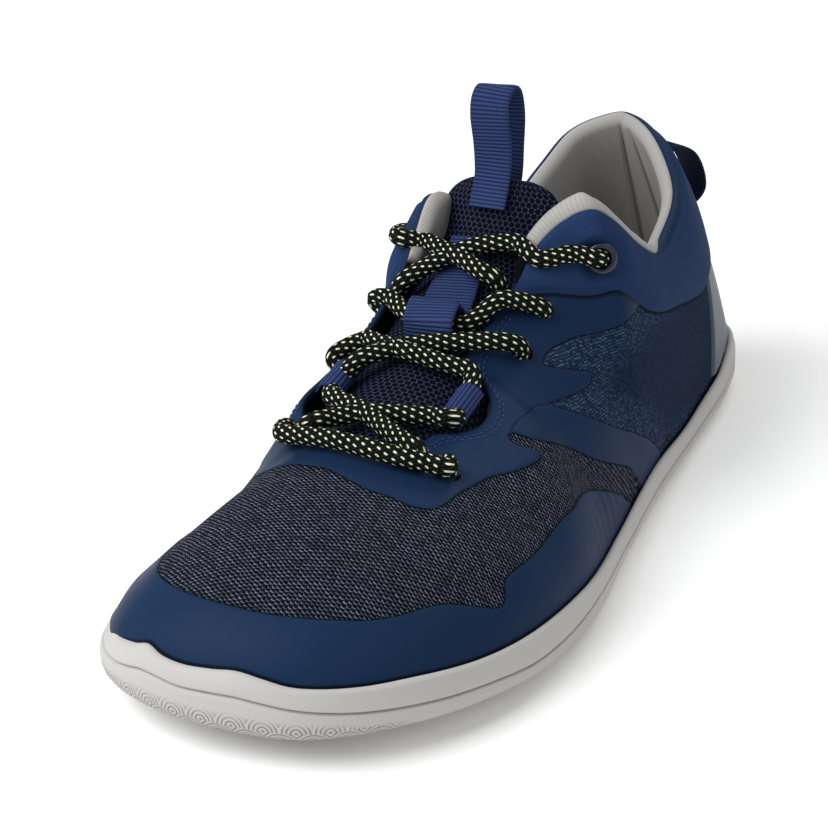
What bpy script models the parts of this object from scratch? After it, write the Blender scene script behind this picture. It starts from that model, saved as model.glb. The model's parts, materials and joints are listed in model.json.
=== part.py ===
"""Left barefoot trainer, as an assembly of separate solids.

Frame: +Z up, metres, toe towards -Y, the wearer's outer (lateral) side towards +X.
The origin is on the floor, under the middle of the sole's outline.
"""

import math

import bmesh
import bpy
from mathutils import Vector

# Overall sizes
LENGTH = 0.280
BALL_WIDTH = 0.1105
HEEL_WIDTH = 0.067
INSTEP_HEIGHT = 0.069
HEEL_HEIGHT = 0.088
TOE_SPRING = 0.0063
ARCH_RISE = 0.0016

# Places along the sole, as shares of LENGTH from the heel
SPRING_START = 0.74
ARCH = (0.36, 0.50)
TREAD = (0.03, 0.965)
WALL_RISE = (0.50, 0.76)
BACK_FADE = 0.16

# Sole
SIDE_ROUNDING = 0.0060
STACK = 0.0065
LUG_HEIGHT = 0.0012
LUG_MARGIN = 0.0011
HEEL_WALL = 0.0122
TOE_WALL = 0.0160
BACK_RISE = 0.0050
LIP_INSET = 0.0008
LIP_THICKNESS = 0.0021
LIP_EDGE = 0.0005
LIP_FACE = 0.0022
GROOVE_DEPTH = 0.0010
GROOVE_WIDTH = 0.0009
GROOVE_BELOW_LIP = 0.0062

# Upper and what fits in it
FIT_GAP = 0.0003
WALL = 0.0020
COLLAR_PADDING = 0.0030
INSOLE_THICKNESS = 0.0030
INSOLE_CLEARANCE = 0.0008
COUNTER_THICKNESS = 0.0010
TONGUE_THICKNESS = 0.0030
TONGUE_TAPER = 0.16

# The heel counter's outline: stations each side of the heel, and shares up the upper's ribs
COUNTER_REACH = 2.35
COUNTER_FOOT = 0.02
COUNTER_TOP = 0.50
COUNTER_END_TOP = 0.36

# Webbing, lace and eyelets
WEBBING_WIDTH = 0.0150
WEBBING_THICKNESS = 0.0014
HEEL_LOOP_WIDTH = 0.0110
PULL_LOOP_WIDTH = 0.0112
PULL_LOOP_OFFSET = -0.0022
PULL_LOOP_TWIST = 10.0
LACE_LOOP_LENGTH = 0.0120
LACE_LOOP_THICKNESS = 0.0010
LACE_LOOP_BORE = 0.0060
LACE_DIAMETER = 0.0050
EYELET_DIAMETER = 0.0088
EYELET_BORE = 0.0054
EYELET_THICKNESS = 0.0012
EYELET_SEAT = 0.0012

STATIONS = 64
UPPER_ROWS = 10
CROSS_CELLS = 6
TONGUE_CELLS = 10
TONGUE_ROWS = 22
COUNTER_CELLS = 22
COUNTER_ROWS = 4
CORD_SIDES = 8

# The sole's rounded lower side, as shares of SIDE_ROUNDING inwards and upwards.
SIDE_COLUMNS = ("inset", "height")
SIDE = (
    (1.00, 0.20),
    (0.62, 0.23),
    (0.28, 0.42),
    (0.08, 0.68),
)

# The tongue's middle line, from under the vamp up to its top.
# along: share of LENGTH from the heel; ball: share of half of BALL_WIDTH;
# instep: share of INSTEP_HEIGHT; half: half width and droop: fall at the edges,
# both as shares of half of BALL_WIDTH.
TONGUE_COLUMNS = ("along", "ball", "instep", "half", "droop")
TONGUE = (
    (0.775, -0.15, 0.600, 0.38, 0.14),
    (0.707, -0.15, 0.635, 0.44, 0.12),
    (0.646, -0.14, 0.715, 0.47, 0.13),
    (0.575, -0.172, 0.812, 0.365, 0.12),
    (0.504, -0.226, 0.940, 0.295, 0.10),
    (0.440, -0.172, 1.100, 0.295, 0.09),
    (0.410, -0.12, 1.375, 0.330, 0.10),
)

# The sole's outline, heel to toe down the lateral side and back up the medial side.
# along: share of LENGTH from the heel; ball and heel: shares of half of each width.
OUTLINE_COLUMNS = ("along", "ball", "heel")
OUTLINE = (
    (0.000, 0.00, -0.07),
    (0.030, 0.00, 0.63),
    (0.115, 0.00, 0.91),
    (0.250, 0.15, 0.82),
    (0.400, 0.50, 0.41),
    (0.530, 0.87, 0.00),
    (0.660, 1.00, 0.00),
    (0.785, 0.985, 0.00),
    (0.896, 0.78, 0.00),
    (0.969, 0.40, 0.00),
    (0.990, -0.17, 0.00),
    (0.963, -0.63, 0.00),
    (0.902, -0.90, 0.00),
    (0.815, -1.00, 0.00),
    (0.710, -0.95, 0.00),
    (0.590, -0.84, 0.00),
    (0.450, -0.30, -0.70),
    (0.300, -0.10, -0.94),
    (0.130, 0.00, -1.00),
    (0.030, 0.00, -0.73),
)

# The upper's ribs, each from the feather line to the top edge.
# station: place on the outline, in rows of OUTLINE; along: share of LENGTH from the heel;
# ball: share of half of BALL_WIDTH; instep and heel: shares of those heights, added;
# round: 0 is a straight rib, 1 a quarter ellipse; bulge: share of HEEL_WIDTH, outwards.
RIB_COLUMNS = ("station", "along", "ball", "instep", "heel", "round", "bulge")
RIBS = (
    (0.00, 0.089, -0.14, 0.00, 1.005, 0.10, 0.015),
    (1.00, 0.111, 0.10, 0.00, 0.95, 0.12, 0.015),
    (2.00, 0.164, 0.33, 0.00, 0.82, 0.15, 0.015),
    (3.00, 0.246, 0.43, 0.00, 0.735, 0.20, 0.020),
    (3.35, 0.289, 0.455, 0.20, 0.59, 0.25, 0.020),
    (3.65, 0.336, 0.44, 0.35, 0.57, 0.30, 0.015),
    (3.95, 0.396, 0.35, 0.45, 0.66, 0.35, 0.010),
    (4.15, 0.411, 0.19, 0.60, 0.50, 0.40, 0.010),
    (4.35, 0.443, 0.10, 0.80, 0.26, 0.45, 0.010),
    (4.60, 0.475, 0.095, 1.00, 0.00, 0.50, 0.010),
    (5.00, 0.536, 0.08, 0.877, 0.00, 0.55, 0.010),
    (5.20, 0.561, 0.08, 0.830, 0.00, 0.58, 0.010),
    (5.40, 0.579, 0.22, 0.775, 0.00, 0.60, 0.010),
    (5.60, 0.600, 0.31, 0.729, 0.00, 0.62, 0.010),
    (5.85, 0.629, 0.335, 0.699, 0.00, 0.66, 0.010),
    (6.05, 0.648, 0.29, 0.693, 0.00, 0.69, 0.010),
    (6.30, 0.666, 0.19, 0.696, 0.00, 0.70, 0.012),
    (6.70, 0.682, 0.165, 0.690, 0.00, 0.72, 0.015),
    (7.20, 0.6945, 0.135, 0.687, 0.00, 0.75, 0.018),
    (8.00, 0.7035, 0.04, 0.693, 0.00, 0.78, 0.020),
    (9.00, 0.707, -0.07, 0.6985, 0.00, 0.80, 0.020),
    (10.0, 0.707, -0.18, 0.6985, 0.00, 0.80, 0.015),
    (11.0, 0.705, -0.26, 0.69, 0.00, 0.62, 0.000),
    (12.0, 0.700, -0.345, 0.683, 0.00, 0.31, -0.032),
    (12.6, 0.6945, -0.445, 0.677, 0.00, 0.13, -0.060),
    (13.2, 0.677, -0.545, 0.675, 0.00, 0.05, -0.072),
    (13.8, 0.650, -0.625, 0.696, 0.00, 0.09, -0.052),
    (14.4, 0.614, -0.605, 0.739, 0.00, 0.25, -0.018),
    (15.0, 0.579, -0.56, 0.797, 0.00, 0.44, 0.000),
    (15.5, 0.525, -0.545, 0.90, 0.00, 0.55, 0.008),
    (16.0, 0.475, -0.56, 1.00, 0.00, 0.52, 0.010),
    (16.3, 0.450, -0.56, 0.80, 0.26, 0.45, 0.010),
    (16.6, 0.425, -0.54, 0.50, 0.59, 0.40, 0.010),
    (17.0, 0.361, -0.59, 0.35, 0.62, 0.30, 0.015),
    (17.35, 0.300, -0.61, 0.20, 0.615, 0.25, 0.020),
    (17.7, 0.239, -0.59, 0.00, 0.75, 0.20, 0.025),
    (18.3, 0.168, -0.54, 0.00, 0.85, 0.15, 0.030),
    (18.7, 0.129, -0.465, 0.00, 0.94, 0.15, 0.025),
    (19.2, 0.104, -0.32, 0.00, 0.99, 0.12, 0.020),
)


def catmull_rom(before, start, end, after, share):
    """Return the value at a share of the way from start to end on a smooth curve."""
    return 0.5 * (
        2 * start
        + (end - before) * share
        + (2 * before - 5 * start + 4 * end - after) * share**2
        + (3 * start - before - 3 * end + after) * share**3
    )


def smooth_step(low, high, value):
    """Return 0 below low, 1 above high, and a soft ramp between."""
    share = min(max((value - low) / (high - low), 0.0), 1.0)
    return share * share * (3 - 2 * share)


def column(table, columns, name):
    """Return one named column of a table."""
    return [row[columns.index(name)] for row in table]


def outline_controls():
    """Return the outline's control points, in metres, before they are centred."""
    rows = zip(*(column(OUTLINE, OUTLINE_COLUMNS, name) for name in OUTLINE_COLUMNS))
    return [
        Vector((ball * BALL_WIDTH / 2 + heel * HEEL_WIDTH / 2, -along * LENGTH))
        for along, ball, heel in rows
    ]


CONTROLS = outline_controls()


def raw_outline(station):
    """Return the uncentred outline at a station, counted in rows of OUTLINE."""
    count = len(CONTROLS)
    index = math.floor(station)
    share = station - index
    points = [CONTROLS[(index + step) % count] for step in (-1, 0, 1, 2)]
    return catmull_rom(*points, share)


SAMPLES = [raw_outline(step / 20) for step in range(20 * len(OUTLINE))]
CENTRE = Vector((
    (min(p.x for p in SAMPLES) + max(p.x for p in SAMPLES)) / 2,
    (min(p.y for p in SAMPLES) + max(p.y for p in SAMPLES)) / 2,
))
STRETCH = LENGTH / (max(p.y for p in SAMPLES) - min(p.y for p in SAMPLES))


def outline(station):
    """Return the centred outline, LENGTH long, at a station."""
    point = raw_outline(station) - CENTRE
    return Vector((point.x, point.y * STRETCH))


def outward(station):
    """Return the outline's unit normal in plan, pointing away from the foot."""
    step = 0.02
    run = outline(station + step) - outline(station - step)
    return Vector((-run.y, run.x)).normalized()


def along_share(y):
    """Return 0 at the heel's back and 1 at the toe's tip."""
    return min(max(0.5 - y / LENGTH, 0.0), 1.0)


def ground_rise(x, y):
    """Return how high the tread is above the floor: toe spring and medial arch."""
    share = along_share(y)
    spring = TOE_SPRING * (max(share - SPRING_START, 0.0) / (1 - SPRING_START)) ** 2
    start, end = ARCH
    waist = smooth_step(start - 0.08, start + 0.06, share)
    waist *= 1 - smooth_step(end - 0.02, end + 0.10, share)
    return spring + ARCH_RISE * waist * smooth_step(0.1, -0.3, x / BALL_WIDTH)


def lip_height(station):
    """Return the height of the sole's lip above its tread at a station."""
    share = along_share(outline(station).y)
    height = HEEL_WALL + (TOE_WALL - HEEL_WALL) * smooth_step(*WALL_RISE, share)
    return height + BACK_RISE * (1 - smooth_step(0.0, BACK_FADE, share))


def ring_point(station, inset, height):
    """Return a point inside the outline by inset, at a height above the tread."""
    plan = outline(station) - outward(station) * inset
    base = ground_rise(*outline(station))
    return Vector((plan.x, plan.y, base + height))


FEATHER_INSET = LIP_INSET + LIP_THICKNESS + FIT_GAP


def rib_value(name, station):
    """Return a smooth value of one column of RIBS at a station."""
    places = column(RIBS, RIB_COLUMNS, "station")
    values = column(RIBS, RIB_COLUMNS, name)
    period = len(OUTLINE)
    station = station % period
    count = len(RIBS)
    index = max(i for i in range(count) if places[i] <= station)

    def knot(i):
        turn, row = divmod(i, count)
        return places[row] + turn * period, values[row]

    (x0, y0), (x1, y1), (x2, y2), (x3, y3) = (knot(index + step) for step in (-1, 0, 1, 2))
    width = x2 - x1
    share = (station - x1) / width
    slope_in = (y2 - y0) / (x2 - x0) * width
    slope_out = (y3 - y1) / (x3 - x1) * width
    return (
        (2 * share**3 - 3 * share**2 + 1) * y1
        + (share**3 - 2 * share**2 + share) * slope_in
        + (3 * share**2 - 2 * share**3) * y2
        + (share**3 - share**2) * slope_out
    )


def top_edge(station):
    """Return the upper's collar and throat edge at a station."""
    return Vector((
        rib_value("ball", station) * BALL_WIDTH / 2,
        LENGTH / 2 - rib_value("along", station) * LENGTH,
        rib_value("instep", station) * INSTEP_HEIGHT + rib_value("heel", station) * HEEL_HEIGHT,
    ))


def upper_point(station, share, offset=0.0):
    """Return the upper's outer face: share 0 is the feather line, 1 the top edge."""
    foot = ring_point(station, FEATHER_INSET, lip_height(station))
    edge = top_edge(station)
    roundness = rib_value("round", station)
    turn = share * math.pi / 2
    reach = roundness * (1 - math.cos(turn)) + (1 - roundness) * share
    rise = roundness * math.sin(turn) + (1 - roundness) * share
    point = Vector((
        foot.x + (edge.x - foot.x) * reach,
        foot.y + (edge.y - foot.y) * reach,
        foot.z + (edge.z - foot.z) * rise,
    ))
    normal = outward(station)
    swell = rib_value("bulge", station) * HEEL_WIDTH * math.sin(math.pi * share) * (1 - share / 2)
    point += Vector((normal.x, normal.y, 0)) * swell
    if offset:
        point += upper_normal(station, share) * offset
    return point


def upper_normal(station, share):
    """Return the upper's unit normal, pointing out of the shoe."""
    step = 0.01
    low = max(share - step, 0.0)
    high = min(share + step, 1.0)
    around = upper_point(station + step, share) - upper_point(station - step, share)
    up = upper_point(station, high) - upper_point(station, low)
    return up.cross(around).normalized()


def collar_share(station):
    """Return 1 along the padded collar, fading to 0 along the throat."""
    station = station % len(OUTLINE)
    return 1 - smooth_step(4.1, 4.6, station) + smooth_step(15.9, 16.3, station)


def wall_thickness(station, share):
    """Return the upper's wall, thicker where the collar is padded."""
    return WALL + COLLAR_PADDING * collar_share(station) * smooth_step(0.45, 0.80, share)


def even_stations(count):
    """Return stations spaced evenly along the outline's length."""
    steps = 40 * len(OUTLINE)
    points = [outline(i * len(OUTLINE) / steps) for i in range(steps + 1)]
    lengths = [0.0]
    for first, second in zip(points, points[1:]):
        lengths.append(lengths[-1] + (second - first).length)
    result = []
    index = 0
    for i in range(count):
        target = lengths[-1] * i / count
        while lengths[index + 1] < target:
            index += 1
        share = (target - lengths[index]) / (lengths[index + 1] - lengths[index])
        result.append((index + share) * len(OUTLINE) / steps)
    return result


def table_value(table, columns, name, place):
    """Return a smooth value of one column at a place, counted in rows."""
    values = column(table, columns, name)
    last = len(values) - 1
    index = min(int(place), last - 1)
    before = values[index - 1] if index else 2 * values[0] - values[1]
    after = values[index + 2] if index + 2 <= last else 2 * values[last] - values[last - 1]
    return catmull_rom(before, values[index], values[index + 1], after, place - index)


def tongue_value(name, place):
    """Return one of the tongue's columns at a place, counted in rows of TONGUE."""
    return table_value(TONGUE, TONGUE_COLUMNS, name, place)


def tongue_line(place):
    """Return the tongue's middle line, on its upper face."""
    return Vector((
        tongue_value("ball", place) * BALL_WIDTH / 2,
        LENGTH / 2 - tongue_value("along", place) * LENGTH,
        tongue_value("instep", place) * INSTEP_HEIGHT,
    ))


def tongue_normal(place):
    """Return the unit normal of the tongue's upper face on its middle line."""
    step = 0.01
    low = max(place - step, 0.0)
    high = min(place + step, len(TONGUE) - 1)
    run = tongue_line(high) - tongue_line(low)
    return Vector((1, 0, 0)).cross(run).normalized()


def tongue_point(place, across, height=0.0):
    """Return a point on the tongue: across in metres from its middle line."""
    half = tongue_value("half", place) * BALL_WIDTH / 2
    droop = tongue_value("droop", place) * BALL_WIDTH / 2
    normal = tongue_normal(place)
    middle = tongue_line(place)
    return middle + Vector((across, 0, 0)) + normal * (height - droop * (across / half) ** 2)


def skin(bm, rings, closed=True):
    """Join rings of vertices, one after another, with quads that face outwards."""
    for lower, upper in zip(rings, rings[1:]):
        count = len(lower)
        for i in range(count if closed else count - 1):
            j = (i + 1) % count
            bm.faces.new((lower[i], upper[i], upper[j], lower[j]))


def cap_across(bm, ring, height_at, facing_up):
    """Close a ring, which starts at the heel's middle, with rows of quads across it."""
    count = len(ring)
    half = count // 2
    rows = [[ring[0]] * (CROSS_CELLS + 1)]
    for i in range(1, half):
        left, right = ring[i], ring[count - i]
        row = [left]
        for cell in range(1, CROSS_CELLS):
            point = left.co.lerp(right.co, cell / CROSS_CELLS)
            row.append(bm.verts.new((point.x, point.y, height_at(point.x, point.y))))
        rows.append(row + [right])
    rows.append([ring[half]] * (CROSS_CELLS + 1))
    faces = []
    for first, second in zip(rows, rows[1:]):
        for cell in range(CROSS_CELLS):
            corners = [first[cell], second[cell], second[cell + 1], first[cell + 1]]
            corners = [v for i, v in enumerate(corners) if v not in corners[:i]]
            if not facing_up:
                corners.reverse()
            faces.append(bm.faces.new(corners))
    return faces


def make_ring(bm, points):
    """Add a ring of vertices."""
    return [bm.verts.new(point) for point in points]


def closed_slab(bm, outer, inner):
    """Make a closed solid between two grids of points of the same size."""
    rows, cells = len(outer), len(outer[0])
    top = [make_ring(bm, row) for row in outer]
    bottom = [make_ring(bm, row) for row in inner]
    for i in range(rows - 1):
        for j in range(cells - 1):
            bm.faces.new((top[i][j], top[i + 1][j], top[i + 1][j + 1], top[i][j + 1]))
            bm.faces.new((bottom[i][j], bottom[i][j + 1], bottom[i + 1][j + 1], bottom[i + 1][j]))
    border = [(0, j) for j in range(cells - 1)]
    border += [(i, cells - 1) for i in range(rows - 1)]
    border += [(rows - 1, j) for j in range(cells - 1, 0, -1)]
    border += [(i, 0) for i in range(rows - 1, 0, -1)]
    for (i0, j0), (i1, j1) in zip(border, border[1:] + border[:1]):
        bm.faces.new((top[i0][j0], top[i1][j1], bottom[i1][j1], bottom[i0][j0]))


def finish_mesh(bm, name, material):
    """Turn a closed bmesh into a named object, its faces pointing out."""
    bmesh.ops.recalc_face_normals(bm, faces=bm.faces)
    if bm.calc_volume(signed=True) < 0:
        bmesh.ops.reverse_faces(bm, faces=bm.faces)
    mesh = bpy.data.meshes.new(name)
    bm.to_mesh(mesh)
    bm.free()
    mesh.shade_smooth()
    mesh.set_sharp_from_angle(angle=math.radians(40))
    mesh.materials.append(material)
    obj = bpy.data.objects.new(name, mesh)
    bpy.context.scene.collection.objects.link(obj)
    return obj


def make_material(name, colour, roughness, metallic=0.0):
    """Make a plain material from linear colour values."""
    material = bpy.data.materials.new(name)
    material.use_nodes = True
    shader = material.node_tree.nodes["Principled BSDF"]
    shader.inputs["Base Color"].default_value = (*colour, 1)
    shader.inputs["Roughness"].default_value = roughness
    shader.inputs["Metallic"].default_value = metallic
    return material


def sole_side(station):
    """Return the sole's side at a station, from the tread's edge over the lip to the platform."""
    lip = lip_height(station)
    profile = [(inset * SIDE_ROUNDING, height * SIDE_ROUNDING) for inset, height in SIDE]
    groove = max(lip - GROOVE_BELOW_LIP - GROOVE_WIDTH, profile[-1][1])
    profile += [
        (0.0, groove),
        (GROOVE_DEPTH, groove + GROOVE_WIDTH * 0.35),
        (GROOVE_DEPTH, groove + GROOVE_WIDTH * 0.65),
        (LIP_INSET * 0.25, groove + GROOVE_WIDTH),
        (LIP_INSET * 0.4, lip - LIP_FACE),
        (LIP_INSET, lip - LIP_EDGE),
        (LIP_INSET + LIP_THICKNESS * 0.45, lip),
        (LIP_INSET + LIP_THICKNESS, lip - LIP_EDGE),
        (LIP_INSET + LIP_THICKNESS, STACK),
    ]
    return profile


def build_sole(material):
    """Build the cup sole: rounded side, lip, inner platform and tread blocks."""
    bm = bmesh.new()
    stations = even_stations(STATIONS)
    profiles = [sole_side(station) for station in stations]
    rings = []
    for level in range(len(profiles[0])):
        points = [ring_point(s, *profile[level]) for s, profile in zip(stations, profiles)]
        rings.append(make_ring(bm, points))
    skin(bm, rings)
    tread = cap_across(bm, rings[0], lambda x, y: ground_rise(x, y) + LUG_HEIGHT, False)
    cap_across(bm, rings[-1], lambda x, y: ground_rise(x, y) + STACK, True)
    bmesh.ops.recalc_face_normals(bm, faces=bm.faces)
    blocks = [face for face in tread if is_block(face)]
    bmesh.ops.inset_individual(bm, faces=blocks, thickness=LUG_MARGIN, depth=LUG_HEIGHT)
    return finish_mesh(bm, "sole", material)


def is_block(face):
    """Tell whether a cell of the tread carries a block: heel and forefoot, not the waist."""
    share = along_share(face.calc_center_median().y)
    on_arch = ARCH[0] < share < ARCH[1]
    return len(face.verts) == 4 and not on_arch and TREAD[0] < share < TREAD[1]


def build_upper(material):
    """Build the upper: one wall from the sole's platform to the collar and throat edge."""
    bm = bmesh.new()
    stations = even_stations(STATIONS)
    shares = [row / (UPPER_ROWS - 1) for row in range(UPPER_ROWS)]
    foot = STACK + FIT_GAP
    rings = [make_ring(bm, [ring_point(s, FEATHER_INSET, foot) for s in stations])]
    for share in shares:
        rings.append(make_ring(bm, [upper_point(s, share) for s in stations]))
    rings.append(make_ring(bm, [rim_point(s) for s in stations]))
    for share in reversed(shares):
        points = [upper_point(s, share, -wall_thickness(s, share)) for s in stations]
        rings.append(make_ring(bm, points))
    rings.append(make_ring(bm, [ring_point(s, FEATHER_INSET + WALL, foot) for s in stations]))
    skin(bm, rings + rings[:1])
    return finish_mesh(bm, "upper", material)


def rim_point(station):
    """Return the crest of the upper's rounded top edge."""
    wall = wall_thickness(station, 1.0)
    up = (upper_point(station, 1.0) - upper_point(station, 0.97)).normalized()
    return upper_point(station, 1.0, -wall / 2) + up * wall * 0.3


def build_insole(material):
    """Build the flat insole, which lies on the platform inside the upper."""
    bm = bmesh.new()
    stations = even_stations(STATIONS)
    inset = FEATHER_INSET + WALL + INSOLE_CLEARANCE
    low = STACK + FIT_GAP
    high = low + INSOLE_THICKNESS
    rings = [make_ring(bm, [ring_point(s, inset, z) for s in stations]) for z in (low, high)]
    skin(bm, rings)
    cap_across(bm, rings[0], lambda x, y: ground_rise(x, y) + low, False)
    cap_across(bm, rings[1], lambda x, y: ground_rise(x, y) + high, True)
    return finish_mesh(bm, "insole", material)


def build_counter(material):
    """Build the heel counter, a shell that stands proud of the upper's own form."""
    bm = bmesh.new()
    grids = []
    for offset in (FIT_GAP + COUNTER_THICKNESS, FIT_GAP):
        grid = []
        for row in range(COUNTER_ROWS + 1):
            line = []
            for cell in range(COUNTER_CELLS + 1):
                side = 2 * cell / COUNTER_CELLS - 1
                top = COUNTER_TOP + (COUNTER_END_TOP - COUNTER_TOP) * side**4
                share = COUNTER_FOOT + (top - COUNTER_FOOT) * row / COUNTER_ROWS
                line.append(upper_point(side * COUNTER_REACH, share, offset))
            grid.append(line)
        grids.append(grid)
    closed_slab(bm, *grids)
    return finish_mesh(bm, "heel_counter", material)


def build_tongue(material):
    """Build the tongue, padded mesh from under the vamp to above the throat."""
    bm = bmesh.new()
    grids = []
    for height in (0.0, -TONGUE_THICKNESS):
        grid = []
        for row in range(TONGUE_ROWS + 1):
            place = (len(TONGUE) - 1) * row / TONGUE_ROWS
            half = tongue_value("half", place) * BALL_WIDTH / 2
            half *= 1 - TONGUE_TAPER * smooth_step(5.5, 6.0, place)
            cells = range(-TONGUE_CELLS // 2, TONGUE_CELLS // 2 + 1)
            grid.append([tongue_point(place, half * 2 * c / TONGUE_CELLS, height) for c in cells])
        grids.append(grid)
    closed_slab(bm, *grids)
    return finish_mesh(bm, "tongue", material)


def smooth_path(points, steps):
    """Return points on a smooth curve through the given points."""
    last = len(points) - 1
    result = []
    for index in range(last):
        before = points[index - 1] if index else points[0] * 2 - points[1]
        after = points[index + 2] if index + 2 <= last else points[last] * 2 - points[last - 1]
        for step in range(steps):
            share = step / steps
            result.append(catmull_rom(before, points[index], points[index + 1], after, share))
    return result + [points[last]]


def ribbon(name, rows, thickness, material):
    """Build a ribbon from rows of (left point, right point, thickness direction)."""
    bm = bmesh.new()
    lower, upper = [], []
    for left, right, direction in rows:
        middle = (left + right) / 2
        lower.append([left, middle, right])
        upper.append([p + direction * thickness for p in (left, middle, right)])
    closed_slab(bm, upper, lower)
    return finish_mesh(bm, name, material)


# The strap on the tongue lies on it, arches over the lace as a keeper, and lies down again.
# place: in rows of TONGUE; height: over the tongue, in lace diameters; across: its middle
# from the tongue's middle, and width: both as shares of WEBBING_WIDTH.
STRAP_COLUMNS = ("place", "height", "across", "width")
STRAP = (
    (3.29, 0.00, 0.13, 1.00),
    (3.32, 0.55, 0.13, 1.00),
    (3.37, 1.15, 0.13, 1.00),
    (3.45, 1.36, 0.13, 1.00),
    (3.72, 1.36, 0.13, 1.00),
    (3.80, 0.90, 0.13, 1.00),
    (3.87, 0.02, 0.13, 0.99),
    (4.20, 0.00, 0.06, 0.93),
    (4.60, 0.00, -0.10, 0.83),
    (4.90, 0.00, -0.24, 0.77),
    (5.15, 0.00, -0.32, 0.75),
)


def build_strap(material):
    """Build the webbing strap with its lace keeper, following the tongue's crown."""
    bm = bmesh.new()
    grids = []
    for lift in (FIT_GAP + WEBBING_THICKNESS, FIT_GAP):
        grid = []
        for place, height, across, width in STRAP:
            cells = [(across + width * side / 4) * WEBBING_WIDTH for side in range(-2, 3)]
            rise = lift + height * LACE_DIAMETER
            grid.append([tongue_point(place, cell, rise) for cell in cells])
        grids.append(grid)
    closed_slab(bm, *grids)
    return finish_mesh(bm, "tongue_strap", material)


# The tongue's pull loop in side view, from the front leg's end over the top to the back
# leg's end. forward: towards the toe, and up: both from the middle of the tongue's top
# edge, as shares of WEBBING_WIDTH.
LOOP_COLUMNS = ("forward", "up")
PULL_LOOP = (
    (0.41, -0.50),
    (0.25, -0.22),
    (0.13, 0.10),
    (0.10, 0.60),
    (0.20, 1.22),
    (0.12, 1.56),
    (-0.12, 1.70),
    (-0.36, 1.54),
    (-0.46, 1.08),
    (-0.40, 0.50),
    (-0.37, 0.05),
    (-0.28, -0.20),
    (-0.13, -0.52),
)


def build_pull_loop(material):
    """Build the pull loop, webbing folded over the tongue's top edge."""
    top = tongue_line(len(TONGUE) - 1) + Vector((PULL_LOOP_OFFSET, 0, 0))
    controls = [top + Vector((0, -f, u)) * WEBBING_WIDTH for f, u in PULL_LOOP]
    path = smooth_path(controls, 2)
    rows = []
    for index, point in enumerate(path):
        run = path[min(index + 1, len(path) - 1)] - path[max(index - 1, 0)]
        turn = smooth_step(0.1, 0.7, (point.z - top.z) / WEBBING_WIDTH)
        angle = math.radians(PULL_LOOP_TWIST) * turn
        across = Vector((math.cos(angle), math.sin(angle), 0))
        direction = across.cross(run).normalized()
        half = across * PULL_LOOP_WIDTH / 2
        rows.append((point - half, point + half, direction))
    return ribbon("tongue_pull_loop", rows, WEBBING_THICKNESS, material)


# The heel's pull loop in side view, from its upper end down to its lower end.
# back: away from the upper, as a share of HEEL_LOOP_WIDTH; share: place on the heel's rib.
HEEL_LOOP_COLUMNS = ("back", "share")
HEEL_LOOP = (
    (0.13, 0.90),
    (0.15, 0.86),
    (0.52, 0.86),
    (0.94, 0.81),
    (1.06, 0.72),
    (0.94, 0.63),
    (0.54, 0.58),
    (0.15, 0.575),
    (0.13, 0.545),
)

# The station behind which the heel's pull loop stands.
HEEL_LOOP_STATION = 0.42


def build_heel_loop(material):
    """Build the webbing loop that stands behind the heel."""
    normal = upper_normal(HEEL_LOOP_STATION, 0.7)
    normal.z = 0
    normal.normalize()
    across = Vector((normal.y, -normal.x, 0))
    half = across * (HEEL_LOOP_WIDTH / 2)
    controls = []
    for back, share in HEEL_LOOP:
        lift = FIT_GAP * 2 + back * HEEL_LOOP_WIDTH
        controls.append(upper_point(HEEL_LOOP_STATION, share) + normal * lift)
    path = smooth_path(controls, 2)
    rows = []
    for index, point in enumerate(path):
        run = path[min(index + 1, len(path) - 1)] - path[max(index - 1, 0)]
        direction = run.cross(across).normalized()
        rows.append((point - half, point + half, direction))
    return ribbon("heel_pull_loop", rows, WEBBING_THICKNESS, material)


# The webbing loops that carry the lace beside the throat, in section across the lace.
# away: towards the eyestay, and up, as shares of LACE_LOOP_BORE from the lace's middle.
LACE_LOOP = (
    (0.52, -0.52),
    (0.25, -0.50),
    (0.00, -0.50),
    (-0.35, -0.35),
    (-0.50, 0.00),
    (-0.35, 0.35),
    (0.00, 0.50),
    (0.27, 0.45),
    (0.55, 0.28),
)

# Each lace loop: name, place on the tongue, across as a share of half of BALL_WIDTH, and
# the side towards which it opens.
LACE_LOOPS = (
    ("lace_loop_lateral", 2.35, 0.20, 1),
    ("lace_loop_medial", 2.35, -0.49, -1),
)


def build_lace_loop(name, place, ball, side, material):
    """Build one webbing lace loop, which lies on the tongue at the throat's edge."""
    across = ball * BALL_WIDTH / 2 - tongue_line(place).x
    lift = LACE_LOOP_BORE / 2 + LACE_LOOP_THICKNESS + 3 * FIT_GAP
    step = 0.2
    axis = tongue_point(place + step, across, lift) - tongue_point(place - step, across, lift)
    axis.normalize()
    slope = tongue_point(place, across + 0.001 * side) - tongue_point(place, across)
    away = slope.normalized()
    up = away.cross(axis).normalized()
    if up.z < 0:
        up.negate()
    centre = tongue_point(place, across, lift)
    path = smooth_path([centre + (away * a + up * u) * LACE_LOOP_BORE for a, u in LACE_LOOP], 2)
    half = axis * LACE_LOOP_LENGTH / 2
    rows = []
    for index, point in enumerate(path):
        run = path[min(index + 1, len(path) - 1)] - path[max(index - 1, 0)]
        direction = axis.cross(run).normalized()
        if direction.dot(point - centre) < 0:
            direction.negate()
        rows.append((point - half, point + half, direction))
    return ribbon(name, rows, LACE_LOOP_THICKNESS, material)


# Eyelets: name, station on the upper, share up the rib.
EYELETS = (
    ("eyelet_lateral", 4.03, 0.75),
    ("eyelet_medial", 16.55, 0.76),
)


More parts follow.
